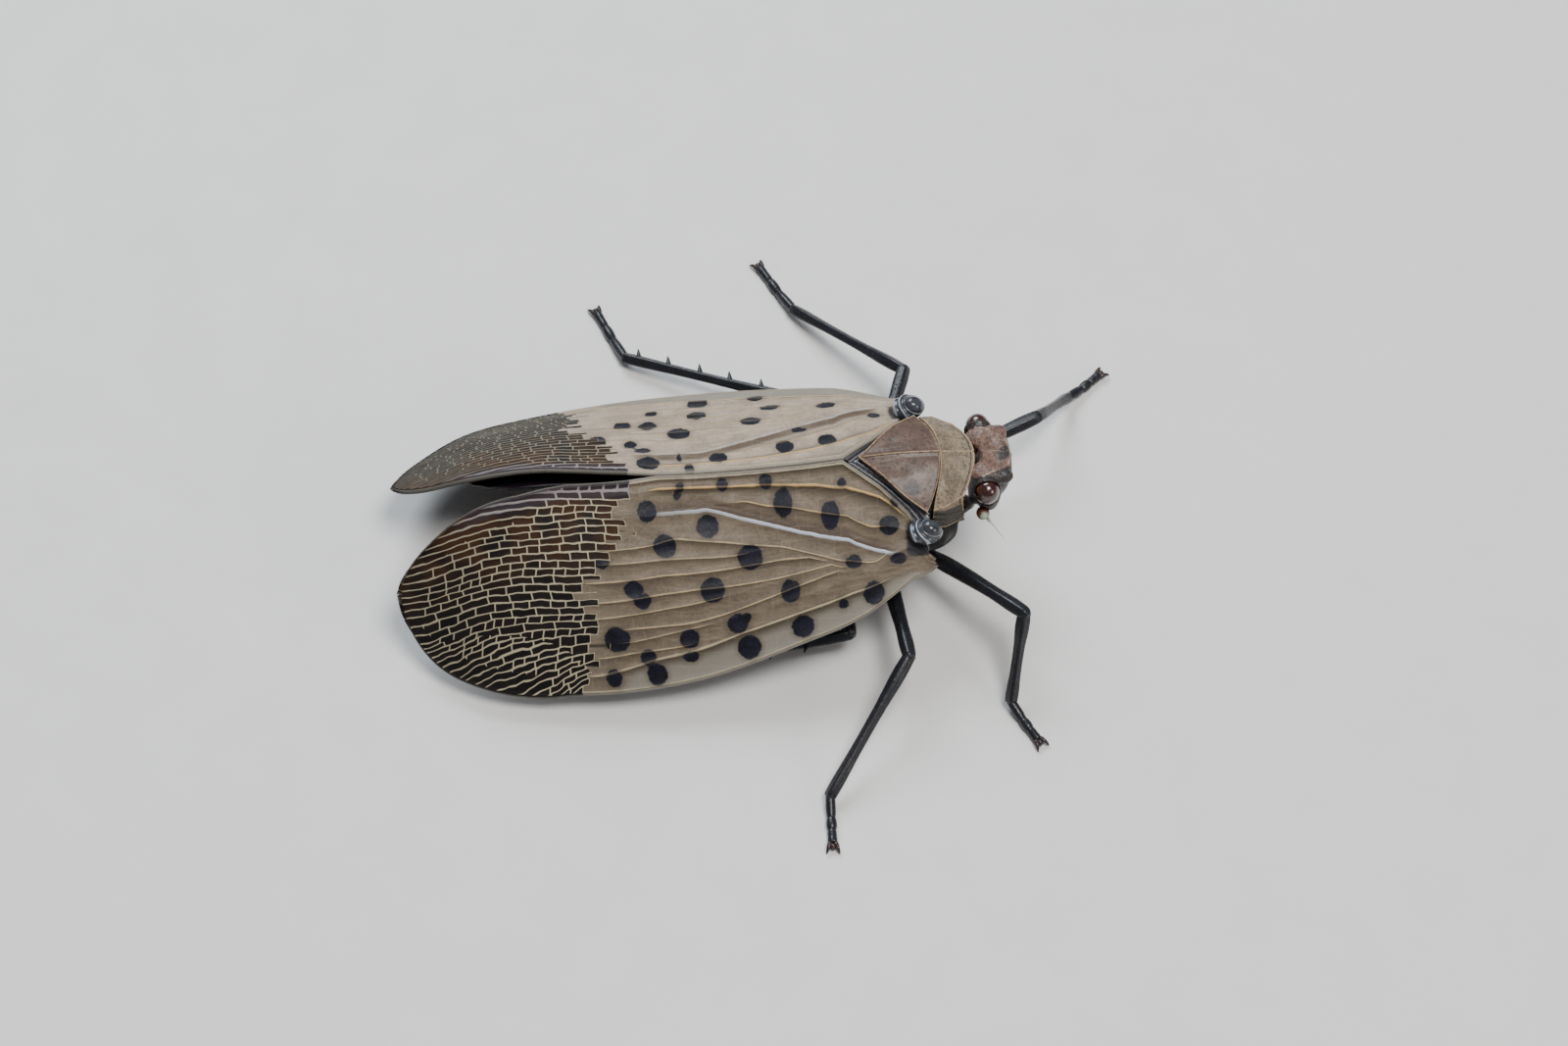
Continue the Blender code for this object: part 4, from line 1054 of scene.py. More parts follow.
def net_lean(row):
    """How fast a row of the net turns away from the others."""
    return np.where(row > NET_FAN_W, NET_LEAN_OUTER, NET_LEAN_INNER)


def net_rows(x, w):
    """Distance across, at the netted tip's front, of the row through each point, and the rows' spread."""
    behind = np.maximum((NET_FAN_X - x) / NET_FAN_REACH, 0.0)
    low, high = np.full(x.shape, -3.0), np.full(x.shape, 12.0)
    for _ in range(30):
        middle = (low + high) / 2
        past = middle + net_lean(middle) * (middle - NET_FAN_W) ** 3 * behind > w
        low, high = np.where(past, low, middle), np.where(past, middle, high)
    rows = (low + high) / 2
    return rows, 1 + 3 * net_lean(rows) * (rows - NET_FAN_W) ** 2 * behind


def forewing(label, side, spots, material, thickness, ridge):
    """Forewing whose mesh columns run along its veins."""
    front = np.linspace(WING_BASE_X - 0.02, WING_COSTA_X[0], WING_ROWS - WING_TIP_ROWS, endpoint=False)
    swing = np.radians(np.linspace(0.0, 89.6, WING_TIP_ROWS))
    x_row = np.concatenate([front, WING_COSTA_X[0] + (WING_APEX_X - WING_COSTA_X[0]) * np.sin(swing)])
    lines, strengths = wing_lines(x_row)
    parts = [entry[4] for entry in WING_LINES] + [3]
    cols, kinds = [lines[0]], [(0, 0.0)]
    for k, count in enumerate(parts):
        for j in range(1, count + 1):
            t = (1 - math.cos(math.pi * j / count)) / 2
            cols.append(lines[k] + (lines[k + 1] - lines[k]) * t)
            kinds.append((k, t))
    w = np.array(cols).T
    x = np.repeat(x_row[:, None], w.shape[1], axis=1)
    size = w.shape
    vein, rank, warm, lee, height = (np.zeros(size) for _ in range(5))
    none = np.zeros(WING_ROWS)
    for c, (k, t) in enumerate(kinds):
        below = strengths[k - 1] if k > 0 else none
        above = strengths[k] if k < len(WING_LINES) else none
        to_below, to_above = w[:, c] - lines[k], lines[k + 1] - w[:, c]
        nearer = to_below < to_above
        vein[:, c] = np.where(nearer, to_below, to_above)
        rank[:, c] = np.where(nearer, below, above)
        tints = [WING_LINES[n][2] if 0 <= n < len(WING_LINES) else 0.0 for n in (k - 1, k)]
        warm[:, c] = np.where(nearer, tints[0], tints[1])
        # Share across the gap from the vein inside; the material paints shadow beside the veins from it.
        lee[:, c] = t if t < 1.0 else 0.0
        rises = [WING_LINES[n][3] / 0.05 if 0 <= n < len(WING_LINES) else 0.0 for n in (k - 1, k)]
        lift = np.where(nearer, rises[0] * np.minimum(below, 1), rises[1] * np.minimum(above, 1))
        height[:, c] = lift * ridge * hump(vein[:, c], 0.06)
        held = np.minimum(lines[k + 1] - lines[k], 1.0)
        height[:, c] -= 0.05 * held * math.sin(math.pi * t) * smoothstep(x_row, -7.5, -5.5)
    fold = w - lines[1 + LINE_NAMES.index("claval_fold")][:, None]
    height += 0.06 * (hump(fold - 0.08, 0.09) - hump(fold + 0.2, 0.16)) * smoothstep(x, -5.6, -4.6)
    surface = roof(x, w, side)
    normal = np.cross(np.gradient(surface, axis=0), np.gradient(surface, axis=1))
    normal /= np.linalg.norm(normal, axis=2, keepdims=True)
    normal *= np.sign(normal[..., 2:3])
    surface = surface + normal * height[..., None]
    edge = np.minimum(w - lines[0][:, None], lines[-1][:, None] - w)
    tip = np.hypot((x - WING_APEX_X), (w - WING_APEX_W))
    net_x = np.interp(w, *np.array(NET_EDGE).T)
    rows, fan = net_rows(x, w)
    past_strip = w - lines[1 + LINE_NAMES.index("costal_vein")][:, None]
    layers = {
        "vein": vein,
        "rank": rank * smoothstep(x, 5.9, 5.2),
        "warm": warm,
        "lee": lee,
        "fold": fold,
        "foldline": smoothstep(x, -5.6, -4.9) * smoothstep(x, 5.15, 4.6),
        "spot": spot_distance(x, w, spots),
        "net": net_x - x,
        "rim": np.minimum(edge, tip),
        "costal": past_strip * smoothstep(x, -7.0, -5.0),
        "brown": smoothstep(w, 5.2, 2.4),
        "root": smoothstep(x, 5.1, 5.8) * smoothstep(w, 4.6, 4.2) * smoothstep(w, 2.6, 3.2),
        "hem": smoothstep(w - lines[0][:, None], 0.75, 0.45) * smoothstep(x, -13.5, -11.5),
        "fan": fan,
    }
    maps = (("OnWing", x, w), ("NetRows", rows / NET_PITCH, -x))
    mesh = sheet(f"forewing_{label}", surface, layers, maps)
    keep(f"forewing_skin_{label}", mesh, material, [f"forewing_{label}"], thickness)


def hindwing(label, side, material):
    """Pleated hindwing tucked under the forewing."""
    rows, columns = 90, 61
    x = np.linspace(HIND_FRONT_X, WING_REST_X + 0.02, rows)
    share = np.clip((WING_COSTA_X[0] - x) / (WING_COSTA_X[0] - WING_REST_X), 0, 1)
    neck = np.clip((x + 1.0) / 2.2, 0, 1)
    reach = rounded(share, 2.0) * (1 - 0.55 * neck**2)
    outer = np.minimum(costal_edge(x), 9.0) - HIND_INSET
    far = HIND_MID_W + (outer - HIND_MID_W) * reach
    near = HIND_MID_W - HIND_INNER * reach
    t = np.linspace(0, 1, columns)
    w = near[:, None] + (far - near)[:, None] * t
    x = np.repeat(x[:, None], columns, axis=1)
    surface = roof(x, w, side)
    surface[..., 2] -= HIND_DROP - HIND_PLEAT * np.cos(w * PLEATS * 2 * math.pi)
    mesh = sheet(f"hindwing_{label}", surface, {}, [("OnWing", x, w)])
    keep(f"hindwing_skin_{label}", mesh, material, [f"hindwing_{label}"], PLATE_WALL)


# Trunk and plates.


def shield_front(y):
    """Station of the mesonotum's front edge."""
    return SHIELD_FRONT_X - SHIELD_BOW * np.minimum(np.abs(y) / SHIELD_HALF, 1.0) ** 2


def shield_height(y):
    """Height of the mesonotum's plain dome."""
    return SHIELD_TOP - SHIELD_DROP * (np.abs(y) / SHIELD_HALF) ** 1.6


def trunk(material):
    """One skin over the chest and the belly."""
    rings, around = 260, 96
    bm = bmesh.new()
    bmesh.ops.create_uvsphere(bm, u_segments=around, v_segments=rings, radius=1.0)
    mesh = plain_mesh("trunk_skin", bm)
    co = read_points(mesh)
    share = np.arccos(np.clip(co[:, 2], -1, 1)) / math.pi
    turn = np.arctan2(co[:, 1], co[:, 0])
    table = np.array(TRUNK[::-1])
    x = TRUNK[0][0] + (TRUNK[-1][0] - TRUNK[0][0]) * share
    top, bottom, half = (curve(x, table[:, 0], table[:, k]) for k in (1, 2, 3))
    ring = (BELLY_FRONT_X - x) / (BELLY_FRONT_X - BELLY_BACK_X) * BELLY_RINGS
    on_belly = smoothstep(x, BELLY_FRONT_X + 0.4, BELLY_FRONT_X - 0.2)
    step = np.where(ring > 0, ring % 1.0, 0.0)
    pinch = (0.16 * (1 - smoothstep(step, 0.0, 0.25)) - 0.05 * smoothstep(step, 0.5, 0.95)) * on_belly
    end = np.minimum(np.sin(share * math.pi) * 9.0, 1.0)
    y = (half - pinch) * np.cos(turn) * end
    z = (top + bottom) / 2 + ((top - bottom) / 2 - pinch) * np.sin(turn) * end
    points = np.stack([x, y, z], axis=1)
    for side, _ in SIDES:
        bulge = oval_distance(points, mirrored(SHOULDER, side), SHOULDER_SIZE)
        points[:, 1] += side * 0.25 * (1 - smoothstep(bulge, -0.1, 0.35))
    on_chest = (1 - on_belly) * smoothstep(np.abs(y), 0.4, 1.2)
    seam = np.zeros(len(points))
    for at, lean in CHEST_SEAMS:
        away = np.abs(points[:, 0] - at - lean * (points[:, 2] - 3.5))
        seam = np.maximum(seam, hump(away, 0.07) * on_chest)
    points[:, 1] *= 1 - 0.025 * seam
    close_skin(mesh, points)
    store(mesh, "ridge", seam * 0.6 + 0.5 * on_belly * (step > 0.93))
    store(mesh, "belly", on_belly)
    store(mesh, "band", np.where(np.sin(turn) > -0.2, 1.0, 0.55) * smoothstep(step, 0.55, 0.2) * on_belly)
    keep("trunk_skin", mesh, material, ["thorax", "abdomen"])


def mesonotum(material):
    """Domed triangle with a keel, side lines and raised pale edges."""
    rows, columns = 120, 151
    s = np.linspace(0, 1, rows)[:, None]
    v = np.linspace(-1, 1, columns)[None, :]
    front = shield_front(SHIELD_HALF * v)
    taper = 0.985 * s**1.04
    swell = 0.12 * np.sin(math.pi * s) ** 1.5
    y = SHIELD_HALF * v * (1 - taper) * (1 + swell)
    x = front + (SHIELD_TIP_X - front) * taper
    z = shield_height(y) + 0.08 * np.sin(math.pi * s)
    away = SHIELD_HALF * (1 - taper) * (1 + swell) * (1 - np.abs(v))
    keel = hump(y, KEEL_WIDTH) * smoothstep(s, 1.0, 0.9)
    rim = hump(away - 0.05, 0.035)
    lip = hump(front - x, 0.04)
    z = z + RIDGE_HEIGHT * (keel + rim) + LIP_HEIGHT * lip
    z = z - 0.05 * hump(np.abs(y) - 0.2, 0.1) * smoothstep(s, 1.0, 0.7)
    dip = hump(np.abs(y) - 1.15 * (1 - 0.8 * s), 0.25) * smoothstep(s, 0.25, 0.6)
    z = z - 0.07 * dip
    surface = np.stack(np.broadcast_arrays(x, y, z), axis=-1)
    patch = 1.7 * hump(x - SHIELD_PATCH[0], 0.3) * hump(y - SHIELD_PATCH[1], 0.22)
    # Painted shade: the right half darkens towards its edge.
    painted_shade_right = 0.32 * smoothstep(y, -0.2, -1.9)
    pale = np.maximum(keel, np.maximum(rim * 0.85, lip * 0.7))
    mesh = sheet("mesonotum", surface, {"mark": np.maximum(patch, painted_shade_right), "ridge": pale})
    keep("mesonotum_plate", mesh, material, ["mesonotum"], PLATE_WALL)


def pronotum(material):
    """Saddle between the head and the mesonotum, keeled and dimpled, with lobes down its sides."""
    rows, columns = 70, 221
    s = np.linspace(0, 1, rows)[:, None]
    v = np.linspace(-1, 1, columns)[None, :]
    turn = np.radians(COLLAR_TURN) * v
    widest = (COLLAR_HALF + COLLAR_FLARE) * np.sin(turn)
    hind = shield_front(widest) + 0.06 + COLLAR_LOBE * np.abs(v) ** 3
    bow = 0.72 * COLLAR_BOW * np.minimum(np.abs(v) / FOLD_SHARE, 1.0) ** 2 * (1 - 0.12 * np.abs(v))
    front = COLLAR_FRONT_X - 0.02 - bow
    x = front + (hind - front) * s
    share = np.clip((COLLAR_FRONT_X - x) / COLLAR_LENGTH, 0, 1)
    half = COLLAR_HALF + COLLAR_FLARE * share
    z = COLLAR_TOP + COLLAR_RISE * share - COLLAR_HEIGHT * (1 - np.cos(turn))
    y = half * np.sin(turn)
    keel = hump(y, KEEL_WIDTH)
    lip = hump(x - front, 0.045)
    hem = hump(x - hind, 0.04)
    dimple = hump(np.abs(y) - 0.55, 0.28) * hump(s - 0.5, 0.25)
    fold = hump(np.abs(v) - FOLD_SHARE - 0.1 * s, 0.03)
    z = z + RIDGE_HEIGHT * (keel + lip + fold) + LIP_HEIGHT * hem - 0.07 * dimple
    dark_line = hump(x - front + 0.12, 0.04) * 0.7
    # The lower lobes are dark, and the right one more than the left: that difference is painted shade.
    lower = smoothstep(np.abs(v), 0.7, 0.76) * np.where(v < 0, 1.1, 0.8)
    ribs = np.cos((np.abs(v) - 0.7) * 84 + s * 2) * smoothstep(np.abs(v), 0.7, 0.78)
    z = z + 0.04 * ribs
    blots = 0.62 * hump(x - COLLAR_BLOT[0], 0.3) * hump(y - COLLAR_BLOT[1], 0.15)
    surface = np.stack(np.broadcast_arrays(x, y, z), axis=-1)
    pale = np.maximum(np.maximum(lip * 0.9, hem * 0.65), np.maximum(keel * 0.9, fold * 0.65))
    dark = np.maximum(np.maximum(dark_line, lower), blots)
    pale = pale * smoothstep(np.abs(v), 0.95, 0.8) + 0.7 * smoothstep(np.abs(v), 0.975, 0.99)
    # Painted light: a paler band over the left half of the saddle.
    pale = pale + 0.35 * smoothstep(v, 0.1, 0.5) * smoothstep(v, 0.7, 0.6)
    mesh = sheet("pronotum", surface, {"mark": dark, "ridge": pale})
    keep("pronotum_plate", mesh, material, ["pronotum"], PLATE_WALL)


def tegula(label, side, material):
    """Shell-like cap over the wing's hinge: a smooth boss and curved ridges behind it."""
    mesh, directions = ball_mesh(f"tegula_{label}", 36)
    centre = np.array(mirrored(TEGULA, side))
    points = centre + directions * np.array(TEGULA_SIZE)
    x, y, z = directions.T
    boss = np.hypot((x - 0.35) / 0.62, (y * side + 0.05) / 0.75)
    wave = np.cos((boss - 1.0) * 13.0)
    behind = smoothstep(boss, 0.95, 1.08) * smoothstep(z, -0.5, 0.0)
    swell = 0.09 * smoothstep(boss, 1.0, 0.3) * smoothstep(z, 0.0, 0.4)
    points = push(points, mesh, 0.035 * wave * behind + swell - 0.05 * hump(boss - 1.0, 0.09))
    close_skin(mesh, points)
    groove = hump(boss - 1.0, 0.13)
    slit = hump(y * side - 0.1 - 0.3 * x, 0.13) * smoothstep(boss, 0.8, 0.5)
    # Painted highlights: the ridge crests and the middle of the boss take the pale ridge colour.
    store(mesh, "ridge", smoothstep(wave, 0.3, 0.9) * behind * 0.9 + 0.35 * smoothstep(boss, 0.6, 0.3))
    store(mesh, "mark", np.maximum(groove, slit))
    keep(f"tegula_cap_{label}", mesh, material, [f"tegula_{label}"])


def axillary_strip(label, side, material):
    """Ridged dark strip that fills the notch between the mesonotum and the wing's inner edge."""
    rows, columns = 130, 41
    s = np.linspace(0, 1, rows)[:, None]
    t = np.linspace(0, 1, columns)[None, :]
    outer_x = STRIP_OUTER_X[0] + (STRIP_OUTER_X[1] - STRIP_OUTER_X[0]) * s
    outer_w = np.interp(outer_x, WING_INNER_X, WING_INNER_W) + 0.12
    outer = roof(outer_x, outer_w, side)
    plate_y = 0.02 + 2.35 * s**0.95
    plate_x = SHIELD_TIP_X - 0.1 + 2.75 * s**1.02
    plate_z = shield_height(plate_y) - 0.06
    inner = np.stack([plate_x + 0.12, side * (plate_y - 0.1), plate_z - 0.12], axis=-1)
    surface = inner + (outer - inner) * t[..., None]
    ribs = np.abs(np.sin(t * math.pi * STRIP_RIBS + 0.4 * np.sin(s * 5))) ** 0.8
    surface[..., 2] += STRIP_RIB_HEIGHT * ribs - STRIP_DROP - 0.1 * np.sin(math.pi * t)
    surface[..., 2] += 0.01 * np.sin(s * 90) * (1 - ribs)
    # Painted shade: the grooves between the ribs are marked dark.
    layers = {"ridge": smoothstep(ribs, 0.75, 1.0) * 0.75, "mark": smoothstep(ribs, 0.4, 0.1)}
    mesh = sheet(f"strip_{label}", surface, layers)
    keep(f"axillary_strip_{label}", mesh, material, wall=STRIP_WALL)


# Head.


def eye_distance(points, room):
    """Distance out of the eye's oval, made wider by the room round it."""
    return oval_distance(points, EYE, [size + room for size in EYE_SIZE])


def head_field(points):
    """Distance out of the head, roughly."""
    table = np.array(HEAD[::-1])
    tilt = np.interp(points[:, 2], table[:, 0], table[:, 4])
    rear0 = np.interp(points[:, 2], table[:, 0], table[:, 1])
    front0 = np.interp(points[:, 2], table[:, 0], table[:, 2])
    level = points[:, 2] - tilt * (points[:, 0] - (rear0 + front0) / 2)
    rear, front, half = (curve(level, table[:, 0], table[:, k]) for k in (1, 2, 3))
    long = (front - rear) / 2
    ahead = np.abs(points[:, 0] - (front + rear) / 2) / long
    across = np.abs(points[:, 1]) / half
    ring = (ahead**HEAD_SQUARE + across**HEAD_SQUARE) ** (1 / HEAD_SQUARE) - 1.0
    block = np.maximum(ring * np.minimum(long, half), level - table[-1, 0])
    block = np.maximum(block, table[0, 0] - level)
    away = points * 1.0
    away[:, 1] = np.abs(points[:, 1])
    for centre, size, blend in HEAD_OVALS:
        block = round_min(block, oval_distance(away, centre, size), blend)
    block = -round_min(-block, eye_distance(away, 0.03), 0.04)
    collar = np.abs(eye_distance(away, 0.06)) - 0.035
    block = round_min(block, np.maximum(collar, away[:, 1] - 1.5), 0.06)
    seat = oval_distance(away, ANTENNA, (ANTENNA_SEAT,) * 3)
    return -round_min(-block, seat, 0.05)


def head(material):
    """Head with knobs, keels, sockets and a sunken crown."""
    mesh, directions = ball_mesh("head", 92)
    points = out_to(head_field, HEAD_CORE, directions, 2.6)
    x, y, z = points.T
    away = np.stack([x, np.abs(y), z], axis=1)
    ridge = np.zeros(len(points))
    lift = np.zeros(len(points))
    for line, height, width in HEAD_KEELS:
        near = hump(line_distance(away, line), width)
        ridge = np.maximum(ridge, near)
        lift = np.maximum(lift, near * height)
    crown = smoothstep(z, 6.25, 6.5)
    bowl = hump(x - 9.35, 0.3) * hump(np.abs(y) - 0.45, 0.3) * crown
    grain = np.sin(x * 31 + np.sin(y * 17) * 2) * np.sin(y * 29 + np.sin(x * 13) * 2)
    points = push(points, mesh, lift - 0.1 * bowl + 0.012 * grain * crown)
    close_skin(mesh, points)
    patch = hump(x - 9.78 - 0.3 * (y + 0.1), 0.22) * hump(y + 0.1, 0.34) * hump(z - 6.45, 0.5)
    # Painted shade: the flank below that edge is darkened on the right side only.
    beyond = np.abs(y) - np.interp(x, FLANK_X, FLANK_Y)
    flank = smoothstep(beyond, 0.0, 0.08) * smoothstep(y, 0.5, -0.5) * 1.2
    lower = smoothstep(z, 6.0, 5.5) * 0.75
    socket = smoothstep(eye_distance(away, 0.06), 0.16, 0.02) * 1.2
    store(mesh, "mark", np.maximum(np.maximum(patch * 1.5, flank), np.maximum(lower, socket)))
    store(mesh, "ridge", ridge)
    keep("head_skin", mesh, material, ["head"])


def eye(label, side, material):
    """Globe, marked darker on the side towards the head."""
    mesh, directions = ball_mesh(f"eye_{label}", 30)
    points = np.array(mirrored(EYE, side)) + directions * np.array(EYE_SIZE)
    close_skin(mesh, points)
    store(mesh, "mark", smoothstep(-directions[:, 1] * side, 0.1, 0.8))
    keep(f"eye_globe_{label}", mesh, material, [f"eye_{label}"])


def antenna(label, side, material):
    """Round bulb with a bristle that tapers to a hair."""
    mesh, directions = ball_mesh(f"antenna_{label}", 22)
    centre = np.array(mirrored(ANTENNA, side))
    bumps = 0.012 * np.sin(directions[:, 0] * 26) * np.sin(directions[:, 2] * 26)
    points = centre + directions * (BULB_SIZE + bumps)[:, None] * np.array((1.0, 1.05, 0.95))
    write_points(mesh, points * MM)
    bm = bmesh.new()
    bm.from_mesh(mesh)
    bmesh.ops.scale(bm, vec=(1 / MM,) * 3, verts=bm.verts)
    reach = np.array(mirrored(BRISTLE_REACH, side))
    sweep(bm, [centre + reach * t for t in BRISTLE_SHARES], BRISTLE_RADII, sides=12)
    bpy.data.meshes.remove(mesh)
    mesh = to_mesh(f"antenna_{label}", bm)
    co = read_points(mesh) / MM
    out = (co - centre) @ unit((0.2, side, 0.45)) / BULB_SIZE
    store(mesh, "ridge", smoothstep(out, 0.62, 0.98))
    keep(f"antenna_feeler_{label}", mesh, material, [f"antenna_{label}"])


def rostrum(material):
    """Jointed beak laid back between the legs."""
    x, z, r = np.array(ROSTRUM).T
    shares = np.linspace(0, 1, 48)
    at = np.linspace(0, 1, len(ROSTRUM))
    path = np.stack([np.interp(shares, at, x), shares * 0, np.interp(shares, at, z)], axis=1)
    radii = np.interp(shares, at, r)
    for joint in (0.38, 0.72):
        radii = radii * (1 - 0.16 * hump(shares - joint, 0.02))
    radii[0] *= 0.5
    radii[-1] *= 0.4
    bm = bmesh.new()
    sweep(bm, eased(path, 3), radii, sides=24, flutes=4, depth=0.06)
    mesh = to_mesh("rostrum", bm)
    points = read_points(mesh) / MM
    # The beak's top and bottom flutes take the material's painted sheen.
    store(mesh, "ridge", smoothstep(np.abs(points[:, 1]), 0.12, 0.02) * 0.5)
    store(mesh, "mark", smoothstep(points[:, 0], 6.4, 5.0) * 0.6)
    keep("rostrum_beak", mesh, material, ["rostrum"])


# Legs.


def joints_of(label):
    """Coxa, hip, knee, ankle and toe."""
    pair, side = label.split("_")
    hand = 1 if side == "left" else -1
    return [np.array(p, float) for p in [mirrored(q, hand) for q in HIPS[pair]] + list(LEGS[label])]


def limb(bm, start, end, radii, bow=0.0, flutes=0, depth=0.08, cap=0.05):
    """Straight or slightly bowed segment through the radii, with rounded ends."""
    shares = np.linspace(0, 1, LIMB_RINGS)
    radii = np.interp(shares, np.linspace(0, 1, len(radii)), eased(np.array(radii), 1))
    shares, radii = capped(list(shares), list(radii), cap)
    lift = np.array((0.0, 0.0, bow))
    path = [start + (end - start) * t + lift * math.sin(math.pi * min(max(t, 0), 1)) for t in shares]
    sweep(bm, path, radii, sides=26, flutes=flutes, depth=depth)


def spines(bm, knee, ankle):
    """Row of spines down the outer side of a hind shin."""
    step = unit(ankle - knee)
    out = np.array((0.0, math.copysign(1.0, ankle[1]), 0.15))
    out = unit(out - step * out.dot(step))
    for share in SPINE_PLACES:
        base = knee + (ankle - knee) * share
        reach = (out * 0.9 + step * 0.4) * SPINE_LENGTH
        sweep(bm, [base + reach * t for t in SPINE_SHARES], SPINE_RADII, sides=10)


def leg(label, material):
    """Leg from the coxa to the foot. Returns its heel and toe."""
    coxa, hip, knee, ankle, toe = joints_of(label)
    toe[2] = TARSUS_THICK - 0.07
    heel = ankle * 0.55 + toe * 0.45
    heel[2] = TARSUS_THICK - 0.01
    bm = bmesh.new()
    limb(bm, coxa, coxa + (hip - coxa) * 1.05, COXA_RADII, flutes=5, cap=0.1)
    limb(bm, hip + (coxa - hip) * 0.1, hip + (knee - hip) * 0.07, RING_RADII, cap=0.2)
    limb(bm, hip + (knee - hip) * 0.05, knee, THIGH_RADII, bow=0.12, flutes=5, depth=0.07)
    limb(bm, knee, ankle, SHIN_RADII, flutes=4, depth=0.11, cap=0.02)
    if label.startswith("hind"):
        spines(bm, knee, ankle)
    first = ankle + (heel - ankle) * 0.95
    second = heel + (toe - heel) * 0.45
    ends = ((ankle + (heel - ankle) * -0.08, first), (heel, second), (second, toe))
    for (start, end), radii in zip(ends, FOOT_RADII):
        limb(bm, start, end, radii, cap=0.06)
    rest_on_floor(bm)
    mesh = to_mesh(f"leg_{label}", bm)
    points = read_points(mesh) / MM
    normals = normals_of(mesh)
    # A leg's ridge mark is the painted sheen's mask: highest on upper faces, then on faces turned forward and
    # back.
    upper = smoothstep(normals[:, 2], 0.1, 0.8)
    edge = np.where(np.abs(normals[:, 0]) > 0.5, 0.6, 0.3)
    store(mesh, "ridge", upper * 0.5 + edge * 0.3)
    under = smoothstep(normals[:, 2], 0.25, -0.35)
    along = np.clip((points - hip) @ (knee - hip) / np.sum((knee - hip) ** 2), 0, 1.2)
    store(mesh, "mark", under * smoothstep(along, 1.0, 0.75) * THIGH_RUST[label.split("_")[0]])
    nodes = [f"{part}_{label}" for part in ("femur", "tibia", "tarsus")]
    keep(f"leg_skin_{label}", mesh, material, nodes)
    return heel, toe


def claws(label, heel, toe, material):
    """Two curved claws and the pad between them."""
    ahead = unit((toe[0] - heel[0], toe[1] - heel[1], 0.0))
    aside = np.array((-ahead[1], ahead[0], 0.0))
    bm = bmesh.new()
    for hand in (-1, 1):
        base = toe - ahead * 0.05 + aside * hand * 0.08
        reach = ahead * CLAW_LENGTH + aside * hand * CLAW_SPREAD
        path = [base + reach * t + np.array((0, 0, lift)) for t, lift, _ in CLAW_ARCH]
        sweep(bm, path, [radius for _, _, radius in CLAW_ARCH], sides=12)
    pad = toe + ahead * 0.14
    sweep(bm, [pad + ahead * t for t in PAD_SHARES], PAD_RADII, sides=14)
    rest_on_floor(bm)
    mesh = to_mesh(f"claws_{label}", bm)
    store(mesh, "ridge", np.zeros(len(mesh.vertices)))
    store(mesh, "mark", np.full(len(mesh.vertices), 0.25))
    keep(f"claws_{label}", mesh, material)


# Stage.


def stage(settings):
    """Pale floor, soft lights and the camera at the photo's angle."""
    bm = bmesh.new()
    bmesh.ops.create_grid(bm, x_segments=4, y_segments=4, size=settings.floor_size / MM / 2)
    floor_mesh = to_mesh("floor", bm)
    if floor_mesh.polygons[0].normal.z < 0:
        floor_mesh.flip_normals()
    floor = bpy.data.objects.new("floor", floor_mesh)
    floor_mesh.materials.append(floor_material("pale_floor", settings.floor_colour))
    bpy.context.scene.collection.objects.link(floor)

    world = bpy.data.worlds.new("pale_room")
    world.use_nodes = True
    back = world.node_tree.nodes["Background"]
    back.inputs["Color"].default_value = ROOM_COLOUR
    back.inputs["Strength"].default_value = settings.room_strength
    bpy.context.scene.world = world
    for name, place, size, power, colour in LAMPS:
        lamp = bpy.data.lights.new(name, "AREA")
        lamp.shape = "DISK"
        lamp.size = size
        lamp.energy = power * settings.light_strength
        lamp.color = colour
        item = bpy.data.objects.new(name, lamp)
        item.location = place
        item.rotation_mode = "QUATERNION"
        item.rotation_quaternion = (-Vector(place)).to_track_quat("-Z", "Y")
        bpy.context.scene.collection.objects.link(item)

    azimuth, elevation, roll = settings.azimuth, settings.elevation, settings.roll
    back = Vector((
        math.sin(azimuth) * math.cos(elevation),
        -math.cos(azimuth) * math.cos(elevation),
        math.sin(elevation),
    ))
    level = Vector((math.cos(azimuth), math.sin(azimuth), 0.0))
    upright = back.cross(level)
    right = level * math.cos(roll) - upright * math.sin(roll)
    up = level * math.sin(roll) + upright * math.cos(roll)
    shift = right * LOOK_SHIFT[0] - up * LOOK_SHIFT[1]
    spot = (Vector(LOOK_AT) + shift) * MM + back * settings.distance
    view = bpy.data.cameras.new("camera")
    view.lens = settings.lens
    view.sensor_width = SENSOR_WIDTH
    view.clip_start = 0.005
    view.clip_end = 10.0
    camera = bpy.data.objects.new("camera", view)
    camera.matrix_world = Matrix((
        (right.x, up.x, back.x, spot.x),
        (right.y, up.y, back.y, spot.y),
        (right.z, up.z, back.z, spot.z),
        (0.0, 0.0, 0.0, 1.0),
    ))
    bpy.context.scene.collection.objects.link(camera)
    bpy.context.scene.camera = camera


# Settings that a user would change.


def colour(label, note, value):
    return bpy.props.FloatVectorProperty(
        name=label, description=note, default=value, size=3, min=0.0, max=1.0, subtype="COLOR"
    )


def number(label, note, value, **limits):
    return bpy.props.FloatProperty(name=label, description=note, default=value, **limits)


def share(label, note, value):
    return number(label, note, value, min=0.0, max=1.0, subtype="FACTOR")


def length(label, note, value):
    return number(label, note, value, min=0.0, unit="LENGTH", precision=5)


def angle(label, note, degrees):
    return number(label, note, math.radians(degrees), subtype="ANGLE")


